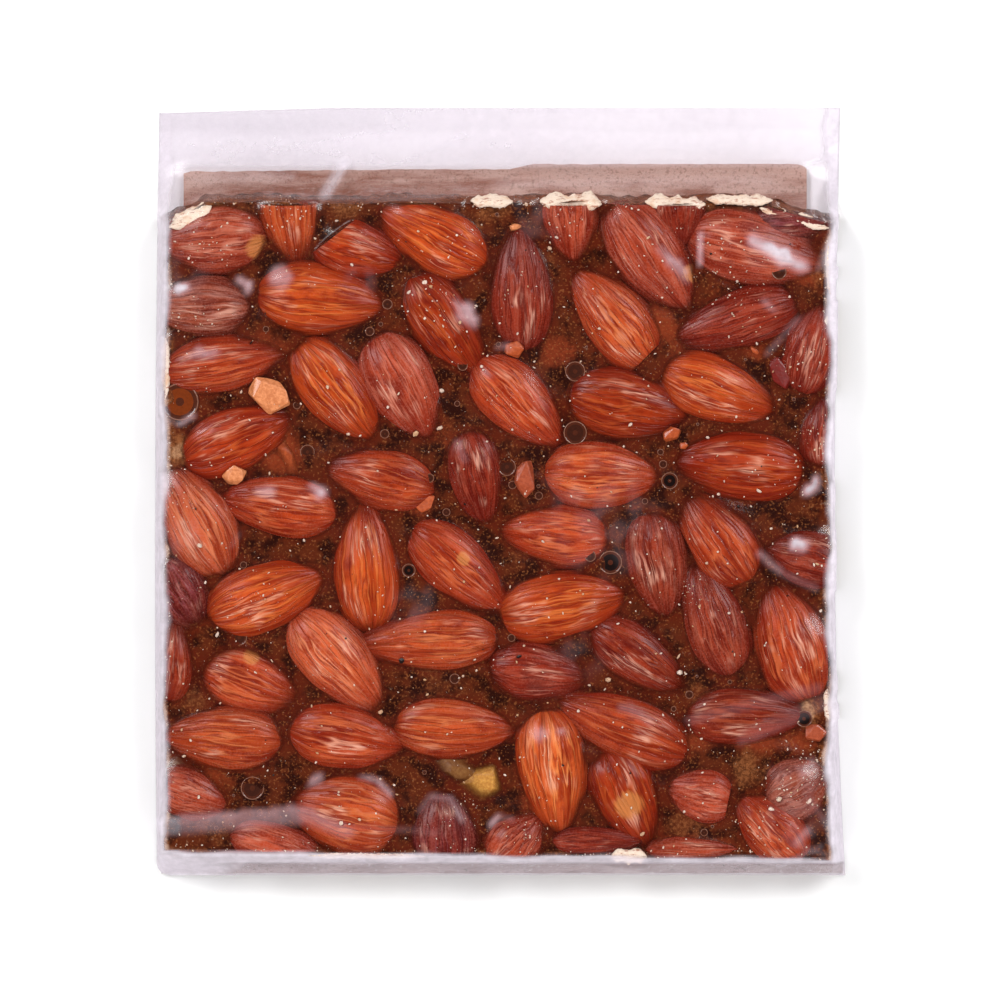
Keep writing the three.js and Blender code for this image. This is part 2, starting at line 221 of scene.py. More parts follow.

# milky creases in the film, with painted highlights along some of them: start x, y, end x, y, how far the
# milkiness fades on the right of that way and on its left, and how milky
STREAKS = [
    (-58.0, 54.8, -44.0, 55.6, 0.3, 0.3, 0.10), (-44.0, 55.6, -30.0, 54.9, 0.3, 0.3, 0.20),
    (-30.0, 54.9, -8.0, 55.4, 0.3, 0.3, 0.18), (-26.0, 56.4, -6.0, 56.8, 0.2, 0.2, 0.15),
    (-58.5, 59.6, -40.0, 59.8, 1.6, 0.4, 0.10), (0.0, 58.0, 50.0, 58.6, 1.2, 0.6, 0.06),
    (57.7, 61.6, 60.4, 62.5, 0.3, 0.3, 0.50), (60.4, 62.5, 61.5, 62.7, 0.3, 0.3, 0.50),
    (61.5, 62.7, 60.8, 63.8, 0.3, 0.3, 0.50), (60.8, 63.8, 64.1, 65.0, 0.3, 0.3, 0.50),
    (-20.0, 61.5, -6.0, 67.5, 0.2, 0.2, 0.20), (-25.5, 65.0, -22.0, 61.8, 0.2, 0.2, 0.20),
    (-63.2, 13.6, -60.1, 12.6, 0.3, 0.3, 0.12), (-60.1, 12.6, -57.6, 14.2, 0.3, 0.3, 0.55),
    (-29.2, 61.3, -32.4, 55.6, 1.6, 0.5, 0.38), (49.9, 25.7, 55.9, 32.6, 0.3, 0.3, 0.16),
    (37.5, 48.2, 37.5, 42.6, 0.4, 0.2, 0.75), (-63.0, -61.3, -37.7, -59.2, 3.0, 0.3, 0.24),
    (-37.7, -59.2, -29.0, -62.6, 2.2, 0.3, 0.20), (-29.0, -62.6, -12.0, -63.6, 0.7, 0.3, 0.05),
    (36.0, -42.0, 58.6, -36.4, 1.6, 0.2, 0.06), (46.9, -46.7, 61.9, -40.1, 0.2, 2.4, 0.06),
    (48.4, -11.6, 52.5, -15.1, 0.5, 0.5, 0.26), (52.5, -15.1, 59.1, -18.1, 0.5, 0.3, 0.12),
    (61.9, 47.7, 59.7, 41.7, 0.4, 0.2, 0.22), (-64.0, 64.6, -62.9, 62.7, 0.5, 0.5, 0.30),
    (-62.9, 62.7, -64.2, 61.0, 0.4, 0.3, 0.25), (47.3, 46.7, 56.3, 42.0, 1.0, 1.6, 0.55),
    (58.0, -57.6, 63.5, -66.5, 0.3, 0.3, 0.12), (54.5, -66.0, 64.0, -69.0, 0.3, 0.3, 0.12),
    (52.0, -70.5, 60.0, -66.5, 0.2, 0.2, 0.25), (-57.0, -69.8, -49.0, -71.0, 0.3, 0.3, 0.20),
    (-53.0, -71.4, -48.0, -69.6, 0.2, 0.2, 0.40), (-58.4, 25.6, -53.7, 25.8, 0.5, 0.3, 0.35),
    (30.0, 45.4, 34.9, 40.1, 1.0, 0.4, 0.20), (-8.0, 9.3, -6.7, 5.9, 0.5, 0.3, 0.14),
    (22.8, -40.1, 28.1, -43.0, 0.8, 0.4, 0.13), (-26.0, -53.3, -22.9, -54.0, 0.5, 0.2, 0.36),
    (-22.9, -54.0, -20.4, -56.9, 0.5, 0.2, 0.55), (-15.1, -59.9, -13.2, -57.1, 0.4, 0.3, 0.15),
    (-13.2, -57.1, -9.5, -57.4, 0.4, 0.3, 0.24), (-9.5, -57.4, -7.2, -61.4, 0.4, 0.3, 0.28),
    (-2.0, -62.5, -0.5, -60.8, 0.4, 0.3, 0.60), (-0.5, -60.8, 2.2, -61.5, 0.4, 0.3, 0.15),
    (-50.5, -10.5, -49.0, -8.0, 0.3, 0.3, 0.06),
]

# softly milky stretches of film, partly painted lilac reflections: x, y, radius, milkiness
CLOUDS = [
    (18.5, -5.0, 12.0, 0.06), (-16.7, -21.5, 5.5, 0.06), (6.0, 51.0, 5.0, 0.06), (50.0, 49.5, 9.0, 0.03),
    (-58.0, 40.0, 7.0, 0.03), (56.0, -56.0, 7.0, 0.05), (14.5, -30.5, 6.0, 0.03),
    (-60.0, -9.0, 5.0, 0.06), (-26.0, 39.5, 4.0, 0.04), (56.0, -62.0, 7.0, 0.06),
]

# painted highlights: patches where the film's shine is painted in: x, y, length, width, turn in degrees,
# strength
HIGHLIGHT_PATCHES = [
    (-41.4, 39.9, 5.0, 4.0, -30, 0.31), (-59.5, 38.0, 3.4, 2.2, 0, 0.85),
    (-48.0, 38.8, 3.0, 2.4, -40, 0.55), (-6.4, 33.2, 6.4, 3.2, -50, 0.49),
    (50.2, 34.8, 3.4, 1.4, -35, 0.28), (-44.1, -0.2, 3.8, 2.4, 20, 0.33),
    (-34.4, 0.0, 3.8, 2.6, -30, 0.53), (7.5, -45.5, 3.2, 2.0, 40, 0.30), (11.2, -45.0, 1.4, 1.0, 0, 0.80),
    (-34.7, -54.3, 2.8, 2.0, 40, 0.39), (56.3, -9.9, 4.6, 2.4, 25, 0.76), (58.5, 1.0, 4.6, 2.6, 60, 0.72),
    (52.0, 44.2, 8.0, 3.4, -28, 0.80), (-55.6, 25.8, 5.0, 1.8, 4, 0.39),
    (32.6, 42.6, 6.5, 2.4, -48, 0.47), (25.4, -41.5, 5.6, 1.6, -28, 0.15),
    (57.0, -64.7, 3.6, 2.4, 40, 0.25), (57.5, -52.0, 4.0, 2.6, 20, 0.18), (0.5, 26.9, 2.4, 1.2, 20, 0.28),
]

# nuts cut through at the slab's sides: the cut face's start x, y and end x, y, and how far it reaches
# to either side of that line
CUT_FACES = [
    (-62.2, 49.6, -54.2, 53.6, 1.5), (-5.6, 54.6, 2.3, 54.4, 1.2), (7.4, 54.5, 19.0, 54.0, 1.9),
    (27.1, 54.4, 38.4, 53.9, 1.4), (38.6, 54.9, 51.0, 54.6, 1.1), (48.6, 53.2, 61.6, 49.4, 1.2),
    (-62.8, 28.8, -62.9, 17.2, 0.8), (61.5, 46.0, 61.8, 37.0, 0.7), (61.4, 33.0, 61.6, 26.0, 0.9),
    (61.3, -37.0, 61.8, -43.0, 0.9), (20.8, -68.2, 27.4, -68.5, 1.4), (-36.0, -68.3, -14.0, -68.4, 0.5),
]

# lighter, clearer stretches of caramel: x, y, radius, lightness
LIGHT_CARAMEL = [
    (-17.5, 48.5, 4.5, 0.9), (-5.5, 48.5, 3.5, 0.8), (36.5, 51.5, 3.0, 0.8), (-60.7, 7.5, 4.0, 1.0),
    (57.5, -4.0, 4.5, 0.3), (-57.5, -39.0, 4.5, 0.45), (-12.0, -36.5, 8.0, 0.35), (46.5, -52.0, 5.0, 0.8),
    (3.0, -12.0, 5.0, 0.35), (36.5, -37.5, 5.0, 0.45), (57.5, -41.0, 4.5, 1.0), (8.5, 43.0, 4.0, 0.4),
    (-53.5, -63.0, 5.5, 0.45), (35.0, -62.5, 6.0, 0.5), (60.3, 41.0, 3.5, 0.7), (0.0, -39.0, 5.0, 0.3),
]

# nuts deep in the caramel: x, y, length, width, turn in degrees, how much they show
SUNKEN = [
    (-41.5, 8.2, 13.0, 9.0, -60, 0.8), (11.0, 26.0, 8.0, 6.5, 20, 0.7), (30.9, 31.2, 5.0, 8.0, 20, 1.0),
    (47.9, 25.9, 5.0, 3.0, -30, 0.9), (45.2, -15.2, 5.0, 5.0, 0, 0.9), (25.2, -3.0, 3.5, 2.4, 0, 0.7),
    (-10.5, 10.5, 4.0, 9.0, 20, 0.4), (31.0, 39.0, 5.0, 4.0, 0, 0.5), (57.0, 41.0, 9.0, 5.0, -20, 0.9),
    (-15.0, -2.5, 6.0, 4.0, 35, 0.7), (47.5, -46.5, 12.0, 5.0, -20, 0.8), (36.5, -46.5, 7.0, 5.0, -30, 0.7),
    (56.0, -47.0, 9.0, 4.0, 10, 0.8), (6.0, -58.5, 7.0, 5.0, -40, 0.6), (36.0, -66.0, 18.0, 3.0, 0, 0.8),
    (-34.5, 45.5, 4.0, 9.0, 20, 0.4), (-53.0, -53.0, 10.0, 4.0, -25, 0.6), (40.8, 38.0, 6.0, 2.6, 10, 0.5),
    (-43.0, 28.0, 9.0, 4.0, -20, 0.5), (-20.0, 26.5, 6.0, 4.0, 0, 0.4), (22.5, -51.0, 4.0, 6.0, 0, 0.4),
    (33.5, 26.0, 8.0, 4.0, -30, 0.5), (15.0, -2.5, 4.0, 9.0, 0, 0.4), (-38.0, -44.5, 4.0, 5.0, 0, 0.5),
]

# dustings of fine specks: x, y, radius, how many
FROST = [
    (-56.0, 46.0, 6.0, 40), (-40.0, 52.0, 5.0, 50), (41.0, 46.0, 7.0, 60), (56.0, -56.0, 6.5, 80),
    (58.0, -50.0, 4.0, 30), (12.0, 50.0, 4.5, 30), (-60.0, 0.0, 5.0, 25), (36.0, -19.0, 4.0, 35),
    (-7.0, 45.0, 5.0, 25), (-57.0, 33.0, 5.0, 25), (55.0, 24.0, 5.0, 35), (55.0, 2.0, 6.0, 30),
    (-46.0, -20.0, 6.0, 30), (5.0, -63.0, 5.0, 30), (48.0, -64.0, 6.0, 35), (-8.0, -60.0, 6.0, 30),
    (34.0, -45.0, 6.0, 30), (-12.0, 36.0, 5.0, 30), (58.0, 12.0, 4.0, 30), (46.0, 36.0, 7.0, 40),
]


# ---- the forms as heights over a grid, in millimetres ----


def ripple(x, y, length, seed):
    """A smooth, seeded unevenness of about -1 to 1, with waves of roughly that length."""
    draw = np.random.default_rng(seed)
    total = np.zeros(np.broadcast(x, y).shape)
    for _ in range(7):
        turn, phase = draw.uniform(0, 2 * math.pi, 2)
        pace = 2 * math.pi / (length * draw.uniform(0.7, 1.5))
        total += np.sin(pace * (x * math.cos(turn) + y * math.sin(turn)) + phase)
    return total / 3.5


def smooth_step(low, high, value):
    """0 below low, 1 above high and smooth between them."""
    t = np.clip((value - low) / (high - low), 0, 1)
    return t * t * (3 - 2 * t)


def smooth_max(a, b, blend):
    """The higher of two heights, with a fillet of that size where they meet."""
    h = np.clip(0.5 + 0.5 * (a - b) / blend, 0, 1)
    return b + (a - b) * h + blend * h * (1 - h)


def turned(x, y, cx, cy, degrees):
    """How far a place lies from a centre along a direction and across it."""
    turn = math.radians(degrees)
    dx, dy = x - cx, y - cy
    return dx * math.cos(turn) + dy * math.sin(turn), dy * math.cos(turn) - dx * math.sin(turn)


def oval(x, y, cx, cy, long, wide, degrees):
    """A place in an oval's own measure: how far along and across, from -1 to 1 inside it."""
    along, across = turned(x, y, cx, cy, degrees)
    return along / long * 2, across / wide * 2


def lens_place(x, y, row):
    """How far along and across an almond a place is, from -1 to 1 inside it, and its local slimness."""
    along, across = turned(x, y, row[0], row[1], row[4])
    along = along / (row[2] / 2)
    slim = 1 - ALMOND_TAPER * np.clip(along, -1, 1)
    return along, across / (row[3] / 2 * slim), slim


def beyond_break(x, y, row):
    """How far a place lies past the face where an almond broke; negative on the almond's side."""
    if len(row) < 9:
        return np.full(np.shape(x), -99.0)
    return turned(x, y, row[0], row[1], row[7])[0] - row[8]


def almond_tops(x, y):
    """Height of the highest almond over each place, falling away steeply outside the almonds."""
    tops = np.full(np.shape(x), BESIDE)
    for row in ALMONDS:
        along, across, slim = lens_place(x, y, row)
        thick = row[3] * ALMOND_FLATNESS
        radius = np.sqrt(along**2 + across**2)
        rise = slim * np.sqrt(np.clip(1 - radius**2, 0, 1))
        top = row[5] - thick / 2 + thick / 2 * rise - 30 * np.clip(radius - 1, 0, None)
        top -= 5 * np.clip(beyond_break(x, y, row), 0, None)
        tops = np.maximum(tops, top)
    return tops


def wander(along, seed):
    """Unevenness of a cut side at a place along it."""
    wave = np.sin(0.21 * along + seed) + 0.6 * np.sin(0.53 * along + 2.3 * seed)
    return 0.42 * wave


# the edges of the slab and of the pouch: X of a side at a place along Y, or Y of an end along X


def slab_left(y):
    return SLAB_LEFT + 0.35 + 0.7 * wander(y, 0.4) + 0.7 * smooth_step(33, 50, y)


def slab_right(y):
    return SLAB_RIGHT + wander(y, 2.9)


def slab_bottom(x):
    return SLAB_BOTTOM + 0.25 - 0.013 * x + 0.4 * wander(x, 4.0)


def slab_top(x):
    left = np.clip((SLAB_LEFT + CORNER_LEFT[0] - x) / CORNER_LEFT[0], 0, 1.2)
    right = np.clip((x - SLAB_RIGHT + CORNER_RIGHT[0]) / CORNER_RIGHT[0], 0, 1.2)
    return SLAB_TOP - CORNER_LEFT[1] * left - CORNER_RIGHT[1] * right + 0.6 * wander(x, 5.2)


def pouch_left(y):
    shoulder = HIGH.y - POUCH_SLOPE
    side = LOW.x + POUCH_TAPER * ((y - POUCH_BOW_LEFT) / (shoulder - POUCH_BOW_LEFT)) ** 2
    up = np.clip(LOW.y + POUCH_CORNER - y, 0, POUCH_CORNER)
    return side + POUCH_CORNER - np.sqrt(POUCH_CORNER**2 - up**2)


def pouch_right(y):
    below = ((y - POUCH_BOW_RIGHT) / (LOW.y - POUCH_BOW_RIGHT)) ** 2
    above = 0.5 * ((y - POUCH_BOW_RIGHT) / (HIGH.y - POUCH_BOW_RIGHT)) ** 2
    return HIGH.x - POUCH_WAIST * (1 - np.where(y < POUCH_BOW_RIGHT, below, above))


def caramel_level(x, y):
    """Height of the caramel between the almonds, uneven as it set."""
    level = bpy.context.scene.chikki_slab.level + MENISCUS
    return level + 0.45 * ripple(x, y, 22, 11) + 0.15 * ripple(x, y, 6, 12)


def caramel_top(x, y):
    """The caramel's surface: it climbs the almonds' flanks and dips under their crowns."""
    return smooth_max(almond_tops(x, y) - MENISCUS, caramel_level(x, y), 1.1)


def surface_heights(names, x, y):
    """Height of the highest of those pieces over each place, or BESIDE where there is none."""
    graph = bpy.context.evaluated_depsgraph_get()
    trees = [BVHTree.FromObject(bpy.data.objects[name], graph) for name in names]
    heights = np.full(np.shape(x), BESIDE)
    down = Vector((0, 0, -1))
    for place in np.ndindex(heights.shape):
        start = Vector((x[place] * MM, y[place] * MM, 0.05))
        for tree in trees:
            hit = tree.ray_cast(start, down)[0]
            if hit:
                heights[place] = max(heights[place], hit.z / MM)
    return heights


def swollen(heights):
    """Each place takes the highest of its neighbours."""
    out = heights.copy()
    out[1:] = np.maximum(out[1:], heights[:-1])
    out[:-1] = np.maximum(out[:-1], heights[1:])
    side = out.copy()
    out[:, 1:] = np.maximum(out[:, 1:], side[:, :-1])
    out[:, :-1] = np.maximum(out[:, :-1], side[:, 1:])
    return out


def softened(heights, passes):
    """Each place takes a weighted mean of its neighbours, so many times over."""
    out = heights.copy()
    for _ in range(passes):
        out[1:-1] = out[1:-1] / 2 + (out[:-2] + out[2:]) / 4
        out[:, 1:-1] = out[:, 1:-1] / 2 + (out[:, :-2] + out[:, 2:]) / 4
    return out


def drape(obstacle, passes):
    """Pulls a sheet tight over an obstacle, held at its rim."""
    sheet = obstacle.copy()
    for _ in range(passes):
        middle = (sheet[:-2, 1:-1] + sheet[2:, 1:-1] + sheet[1:-1, :-2] + sheet[1:-1, 2:]) / 4
        sheet[1:-1, 1:-1] = np.maximum(obstacle[1:-1, 1:-1], middle)
    return sheet


def near_segment(x, y, ax, ay, bx, by):
    """Distance of a place from a straight stretch."""
    long = math.hypot(bx - ax, by - ay)
    t = np.clip(((x - ax) * (bx - ax) + (y - ay) * (by - ay)) / long**2, 0, 1)
    return np.hypot(x - ax - t * (bx - ax), y - ay - t * (by - ay))


# ---- node trees ----


class Socket:
    """A node's output, for use in plain arithmetic."""

    def __init__(self, graph, socket):
        self.graph = graph
        self.socket = socket

    def __add__(self, other):
        return self.graph.math("ADD", self, other)

    def __sub__(self, other):
        return self.graph.math("SUBTRACT", self, other)

    def __rsub__(self, other):
        return self.graph.math("SUBTRACT", other, self)

    def __mul__(self, other):
        return self.graph.math("MULTIPLY", self, other)

    def __pow__(self, other):
        return self.graph.math("POWER", self, other)

    __radd__ = __add__
    __rmul__ = __mul__


class Graph:
    """A node tree that is filled by one method."""

    def __init__(self, tree):
        self.tree = tree
        tree.nodes.clear()

    def node(self, kind, settings=None, inputs=None, output=0):
        made = self.tree.nodes.new(kind)
        for name, value in (settings or {}).items():
            setattr(made, name, value)
        for name, value in (inputs or {}).items():
            if isinstance(value, Socket):
                self.tree.links.new(value.socket, made.inputs[name])
            else:
                made.inputs[name].default_value = value
        return Socket(self, made.outputs[output]) if made.outputs else made

    def math(self, operation, *values):
        inputs = dict(enumerate(values))
        return self.node("ShaderNodeMath", {"operation": operation}, inputs)

    def clamp(self, value):
        return self.node("ShaderNodeClamp", None, {"Value": value})

    def step(self, value, low, high):
        """0 below low, 1 above high and smooth between them."""
        inputs = {"Value": value, "From Min": low, "From Max": high}
        return self.node("ShaderNodeMapRange", {"interpolation_type": "SMOOTHSTEP"}, inputs)

    def mix(self, share, a, b, blend="MIX"):
        inputs = {0: share, 6: rgba(a), 7: rgba(b)}
        return self.node("ShaderNodeMix", {"data_type": "RGBA", "blend_type": blend}, inputs, 2)

    def noise(self, place, scale, detail=2.0, roughness=0.5):
        inputs = {"Vector": place, "Scale": scale, "Detail": detail, "Roughness": roughness}
        return self.node("ShaderNodeTexNoise", None, inputs)

    def attribute(self, name, output="Fac"):
        return self.node("ShaderNodeAttribute", {"attribute_name": name}, None, output)

    def vector(self, x, y, z):
        return self.node("ShaderNodeCombineXYZ", None, {"X": x, "Y": y, "Z": z})

    def scaled(self, vector, scale):
        inputs = {0: vector, "Scale": scale}
        return self.node("ShaderNodeVectorMath", {"operation": "SCALE"}, inputs)

    def bump(self, height, strength, millimetres):
        inputs = {"Strength": strength, "Distance": millimetres * MM, "Height": height}
        return self.node("ShaderNodeBump", None, inputs)

    def principled(self, colour, roughness, more=None):
        inputs = {"Base Color": colour, "Roughness": roughness, **(more or {})}
        return self.node("ShaderNodeBsdfPrincipled", None, inputs)

    def shader(self, kind, colour, more=None):
        return self.node("ShaderNodeBsdf" + kind, None, {"Color": rgba(tuple(colour)), **(more or {})})

    def blend(self, share, a, b):
        return self.node("ShaderNodeMixShader", None, {0: share, 1: a, 2: b})

    def stored(self, name, kind):
        return self.node("GeometryNodeInputNamedAttribute", {"data_type": kind}, {"Name": name})

    def set_material(self, solid, material):
        inputs = {"Geometry": solid, "Material": material}
        return self.node("GeometryNodeSetMaterial", None, inputs)

    def on_points(self, points, shape, rotation, scale):
        """A copy of the shape on each point, as plain mesh."""
        inputs = {"Points": points, "Instance": shape, "Rotation": rotation, "Scale": scale}
        placed = self.node("GeometryNodeInstanceOnPoints", None, inputs)
        return self.node("GeometryNodeRealizeInstances", None, {0: placed})

    def parts(self, vector):
        made = self.tree.nodes.new("ShaderNodeSeparateXYZ")
        self.tree.links.new(vector.socket, made.inputs[0])
        return [Socket(self, output) for output in made.outputs]


def rgba(value):
    """A colour with its alpha, or a socket as it is."""
    if isinstance(value, Socket) or len(value) == 4:
        return value
    return (*value, 1)


def new_material(name):
    material = bpy.data.materials.new(name)
    material.use_nodes = True
    return material, Graph(material.node_tree)


def put_out(material, graph, surface):
    """Connects the material's surface and hands the material back."""
    graph.node("ShaderNodeOutputMaterial", None, {"Surface": surface})
    return material


def object_millimetres(graph):
    """Object coordinates in millimetres."""
    return graph.scaled(graph.node("ShaderNodeTexCoord", None, None, "Object"), 1 / MM)


# ---- materials ----


def almond_skin():
    """Brown skin with wavy lengthwise wrinkles and a dusting of bloom, with painted light: highlights on
    the wrinkles' crests, a sheen on the crowns, and shade in the grooves and, with the syrup's tint, on the
    lower flanks.
    """
    material, g = new_material("almond skin")
    along, around, seed = g.parts(g.attribute("skin", "Vector"))
    warp = g.noise(g.vector(along * 1.6, around * 1.5, seed), 1.0, 2.0) * 1.1
    streaks = g.noise(g.vector(along * 0.8, around * 4.2 + warp, seed), 1.0, 3.0, 0.6)
    wrinkles = g.noise(g.vector(along * 0.7, around * 3.8 + warp, seed + 3), 1.0, 2.0, 0.5)
    creases = g.noise(g.vector(along * 0.8, around * 4.0 + warp, seed + 6), 1.0, 2.0, 0.5)
    fibres = g.noise(g.vector(along * 2.6, around * 13.0, seed), 1.0, 2.0, 0.6)
    blotches = g.noise(g.vector(along * 1.6, around * 1.3, seed), 1.0, 4.0, 0.62)
    dust = g.noise(object_millimetres(g), 2.6, 2.0, 0.6)
    crest = 1 - g.step(g.math("ABSOLUTE", wrinkles - 0.5), 0.0, 0.055)
    groove = 1 - g.step(g.math("ABSOLUTE", creases - 0.5), 0.0, 0.045)
    height = g.attribute("height")
    # the crown, each almond's top, where the painted highlights and sheen are strongest
    crown = g.step(height + (blotches - 0.5) * 0.6 + (streaks - 0.5) * 0.3, 0.62, 0.98)

    tone = g.attribute("tone", "Color")
    dark = g.mix(1.0, tone, (0.37, 0.14, 0.11), "MULTIPLY")
    light = g.mix(1.0, tone, (1.25, 2.3, 3.8), "MULTIPLY")
    colour = g.mix(g.step(streaks, 0.30, 0.64) * (0.55 + 0.25 * crown) + 0.2, dark, tone)
    colour = g.mix(g.step(blotches, 0.46, 0.66) * 0.8, colour, dark)
    colour = g.mix(g.step(fibres, 0.47, 0.70) * (0.12 + 0.25 * crown), colour, light)
    # painted shade in the grooves between the wrinkles
    colour = g.mix(groove * (0.3 + 0.4 * crown), colour, dark)
    # painted highlights on the wrinkles' crests, in the paler tone
    colour = g.mix(crest * (0.25 + 0.5 * crown), colour, light)
    # painted sheen on the crowns, along the crests and the pale fibres
    painted_sheen = g.noise(g.vector(along * 1.5, around * 1.4, seed + 9), 1.0, 2.0)
    painted_sheen = g.step(painted_sheen, 0.50, 0.65) * g.step(height, 0.55, 0.88)
    painted_sheen = painted_sheen * (0.03 + 0.44 * crest + 0.30 * g.step(fibres, 0.52, 0.66))
    colour = g.mix(painted_sheen, colour, (0.80, 0.44, 0.31))
    # painted shade on the lower flanks, with the tint of the syrup that coats them
    flank = g.step(height + (blotches - 0.5) * 0.8, -0.06, 0.93)
    colour = g.mix(flank, dark, colour)
    pale = g.step(dust * 0.6 + streaks * 0.4, 0.44, 0.66) * g.attribute("bloom")
    colour = g.mix(pale, colour, (0.50, 0.15, 0.10))
    bare = g.step(g.attribute("bare") + (fibres - 0.5) * 0.3 + (streaks - 0.5) * 0.6, 0.36, 0.62)
    colour = g.mix(bare * 0.7, colour, (0.60, 0.22, 0.06))

    relief = streaks * 0.5 + crest * 0.45 - groove * 0.5 + fibres * 0.08
    bump = g.bump(relief, 0.8, 0.3)
    more = {"Specular IOR Level": 0.18, "Normal": bump}
    return put_out(material, g, g.principled(colour, 0.26 + 0.2 * pale, more))


def almond_flesh(name="almond flesh", crumbling=1.0):
    """A cut face: dense cream flesh with fine grain, tanner and torn in places."""
    material, g = new_material(name)
    place = object_millimetres(g)
    x, y, z = g.parts(place)
    grain = g.noise(place, 1.4, 4.0, 0.65)
    stains = g.noise(place, 0.45, 2.0)
    layers = g.noise(g.vector(x * 0.5, y * 1.9, z * 1.9), 1.0, 3.0, 0.7)
    colour = g.mix(grain, (0.74, 0.55, 0.38), (0.90, 0.79, 0.66))
    colour = g.mix(g.step(stains, 0.52, 0.72) * 0.6, colour, (0.66, 0.34, 0.15))
    colour = g.mix((1 - g.step(layers, 0.36, 0.46)) * 0.5 * crumbling, colour, (0.36, 0.10, 0.045))
    bump = g.bump(grain, 0.6, 0.25)
    return put_out(material, g, g.principled(colour, 0.6, {"Normal": bump}))


def chunk_surface():
    """A bare piece of nut in its own colour, glazed with syrup."""
    material, g = new_material("bare nut")
    place = object_millimetres(g)
    grain = g.noise(place, 1.8, 3.0, 0.6)
    tone = g.attribute("tone", "Color")
    colour = g.mix(g.step(grain, 0.35, 0.7), g.mix(1.0, tone, (0.72, 0.6, 0.5), "MULTIPLY"), tone)
    bump = g.bump(grain, 0.35, 0.2)
    return put_out(material, g, g.principled(colour, 0.4, {"Coat Weight": 0.3, "Normal": bump}))


def caramel_surface(slab):
    """Hard jaggery: clear where thin over a nut, dark and grainy where deep."""
    material, g = new_material("caramel")
    place = object_millimetres(g)
    cloud = g.noise(place, 0.22, 3.0, 0.55)
    grain = g.noise(place, 1.5, 3.0, 0.7)
    gold = g.noise(place, 2.3, 1.0, 0.5)
    dust = g.noise(place, 1.1, 3.0, 0.75)
    depth = g.attribute("depth")
    colour = g.mix(g.step(cloud + (grain - 0.5) * 0.1, 0.40, 0.60), tuple(slab.dark), tuple(slab.brown))
    colour = g.mix(g.step(grain, 0.52, 0.74) * 0.45, colour, tuple(slab.olive))
    # Redder, darker caramel close to the nuts: their red seen through it, and painted shade round them.
    glow = g.step(g.attribute("near") + (grain - 0.5) * 0.1 + (cloud - 0.5) * 1.6, 0.2, 0.8)
    colour = g.mix(glow * 0.75, colour, tuple(slab.glow))
    sunk = g.step(g.attribute("sunk") + (grain - 0.5) * 0.5 + (cloud - 0.5) * 0.4, 0.1, 0.9)
    colour = g.mix(sunk * 0.85, colour, g.mix(grain, (0.12, 0.014, 0.004), (0.30, 0.05, 0.014)))
    thin = g.attribute("thin")
    deep_tan = g.mix(g.step(grain, 0.35, 0.65), (0.10, 0.029, 0.008), (0.24, 0.080, 0.026))
    side_tan = g.mix(g.step(grain, 0.35, 0.65), (0.20, 0.085, 0.035), (0.42, 0.22, 0.11))
    tan = g.mix(g.step(thin, 0.86, 1.0), deep_tan, side_tan)
    thin = g.step(thin + (grain - 0.5) * 0.6 + (cloud - 0.5) * 0.5, 0.2, 1.0)
    colour = g.mix(thin, colour, tan)
    colour = g.mix(g.step(gold, 0.60, 0.70) * 0.45, colour, (0.30, 0.10, 0.030))
    colour = g.mix(g.step(dust, 0.64, 0.74) * 0.4, colour, (0.40, 0.25, 0.16))
    crust = g.step(g.attribute("crust") + (dust - 0.5) * 1.2, 0.3, 0.8)
    colour = g.mix(crust * 0.8, colour, (0.55, 0.37, 0.26))
    alpha = g.step(depth + (grain - 0.5) * 0.4, -0.3, slab.clarity)
    bump = g.bump(grain, 0.35, 0.2)
    more = {"Specular IOR Level": 0.22, "Alpha": alpha, "Normal": bump}
    return put_out(material, g, g.principled(colour, 0.2, more))


def card_surface(card):
    """Matt board with fibres that run across it and browner, greasier stretches."""
    material, g = new_material("kraft board")
    place = object_millimetres(g)
    x, y, z = g.parts(place)
    fibre = g.noise(g.vector(x * 0.5, y * 2.2, z), 1.0, 4.0, 0.65)
    mottle = g.noise(g.vector(x * 0.09, y * 0.4, z), 1.0, 3.0, 0.6)
    fleck = g.noise(place, 2.4, 2.0, 0.6)
    left = g.step(x, -58.0, -48.0) * (1 - g.step(x, -8.0, 4.0))
    greasy = (58.6 - y) * 0.16 + left * 0.5 - 0.35 + (mottle - 0.5) * 2.6 + (fibre - 0.5) * 0.8
    colour = g.mix(g.step(greasy, -0.5, 0.7), tuple(card.grey), tuple(card.brown))
    colour = g.mix(g.step(fibre, 0.48, 0.72) * 0.4, colour, (0.60, 0.44, 0.39))
    colour = g.mix(g.step(fleck, 0.52, 0.68) * 0.5, colour, (0.16, 0.075, 0.045))
    bump = g.bump(fibre, 0.4, 0.2)
    more = {"Specular IOR Level": 0.2, "Normal": bump}
    return put_out(material, g, g.principled(colour, 0.85, more))


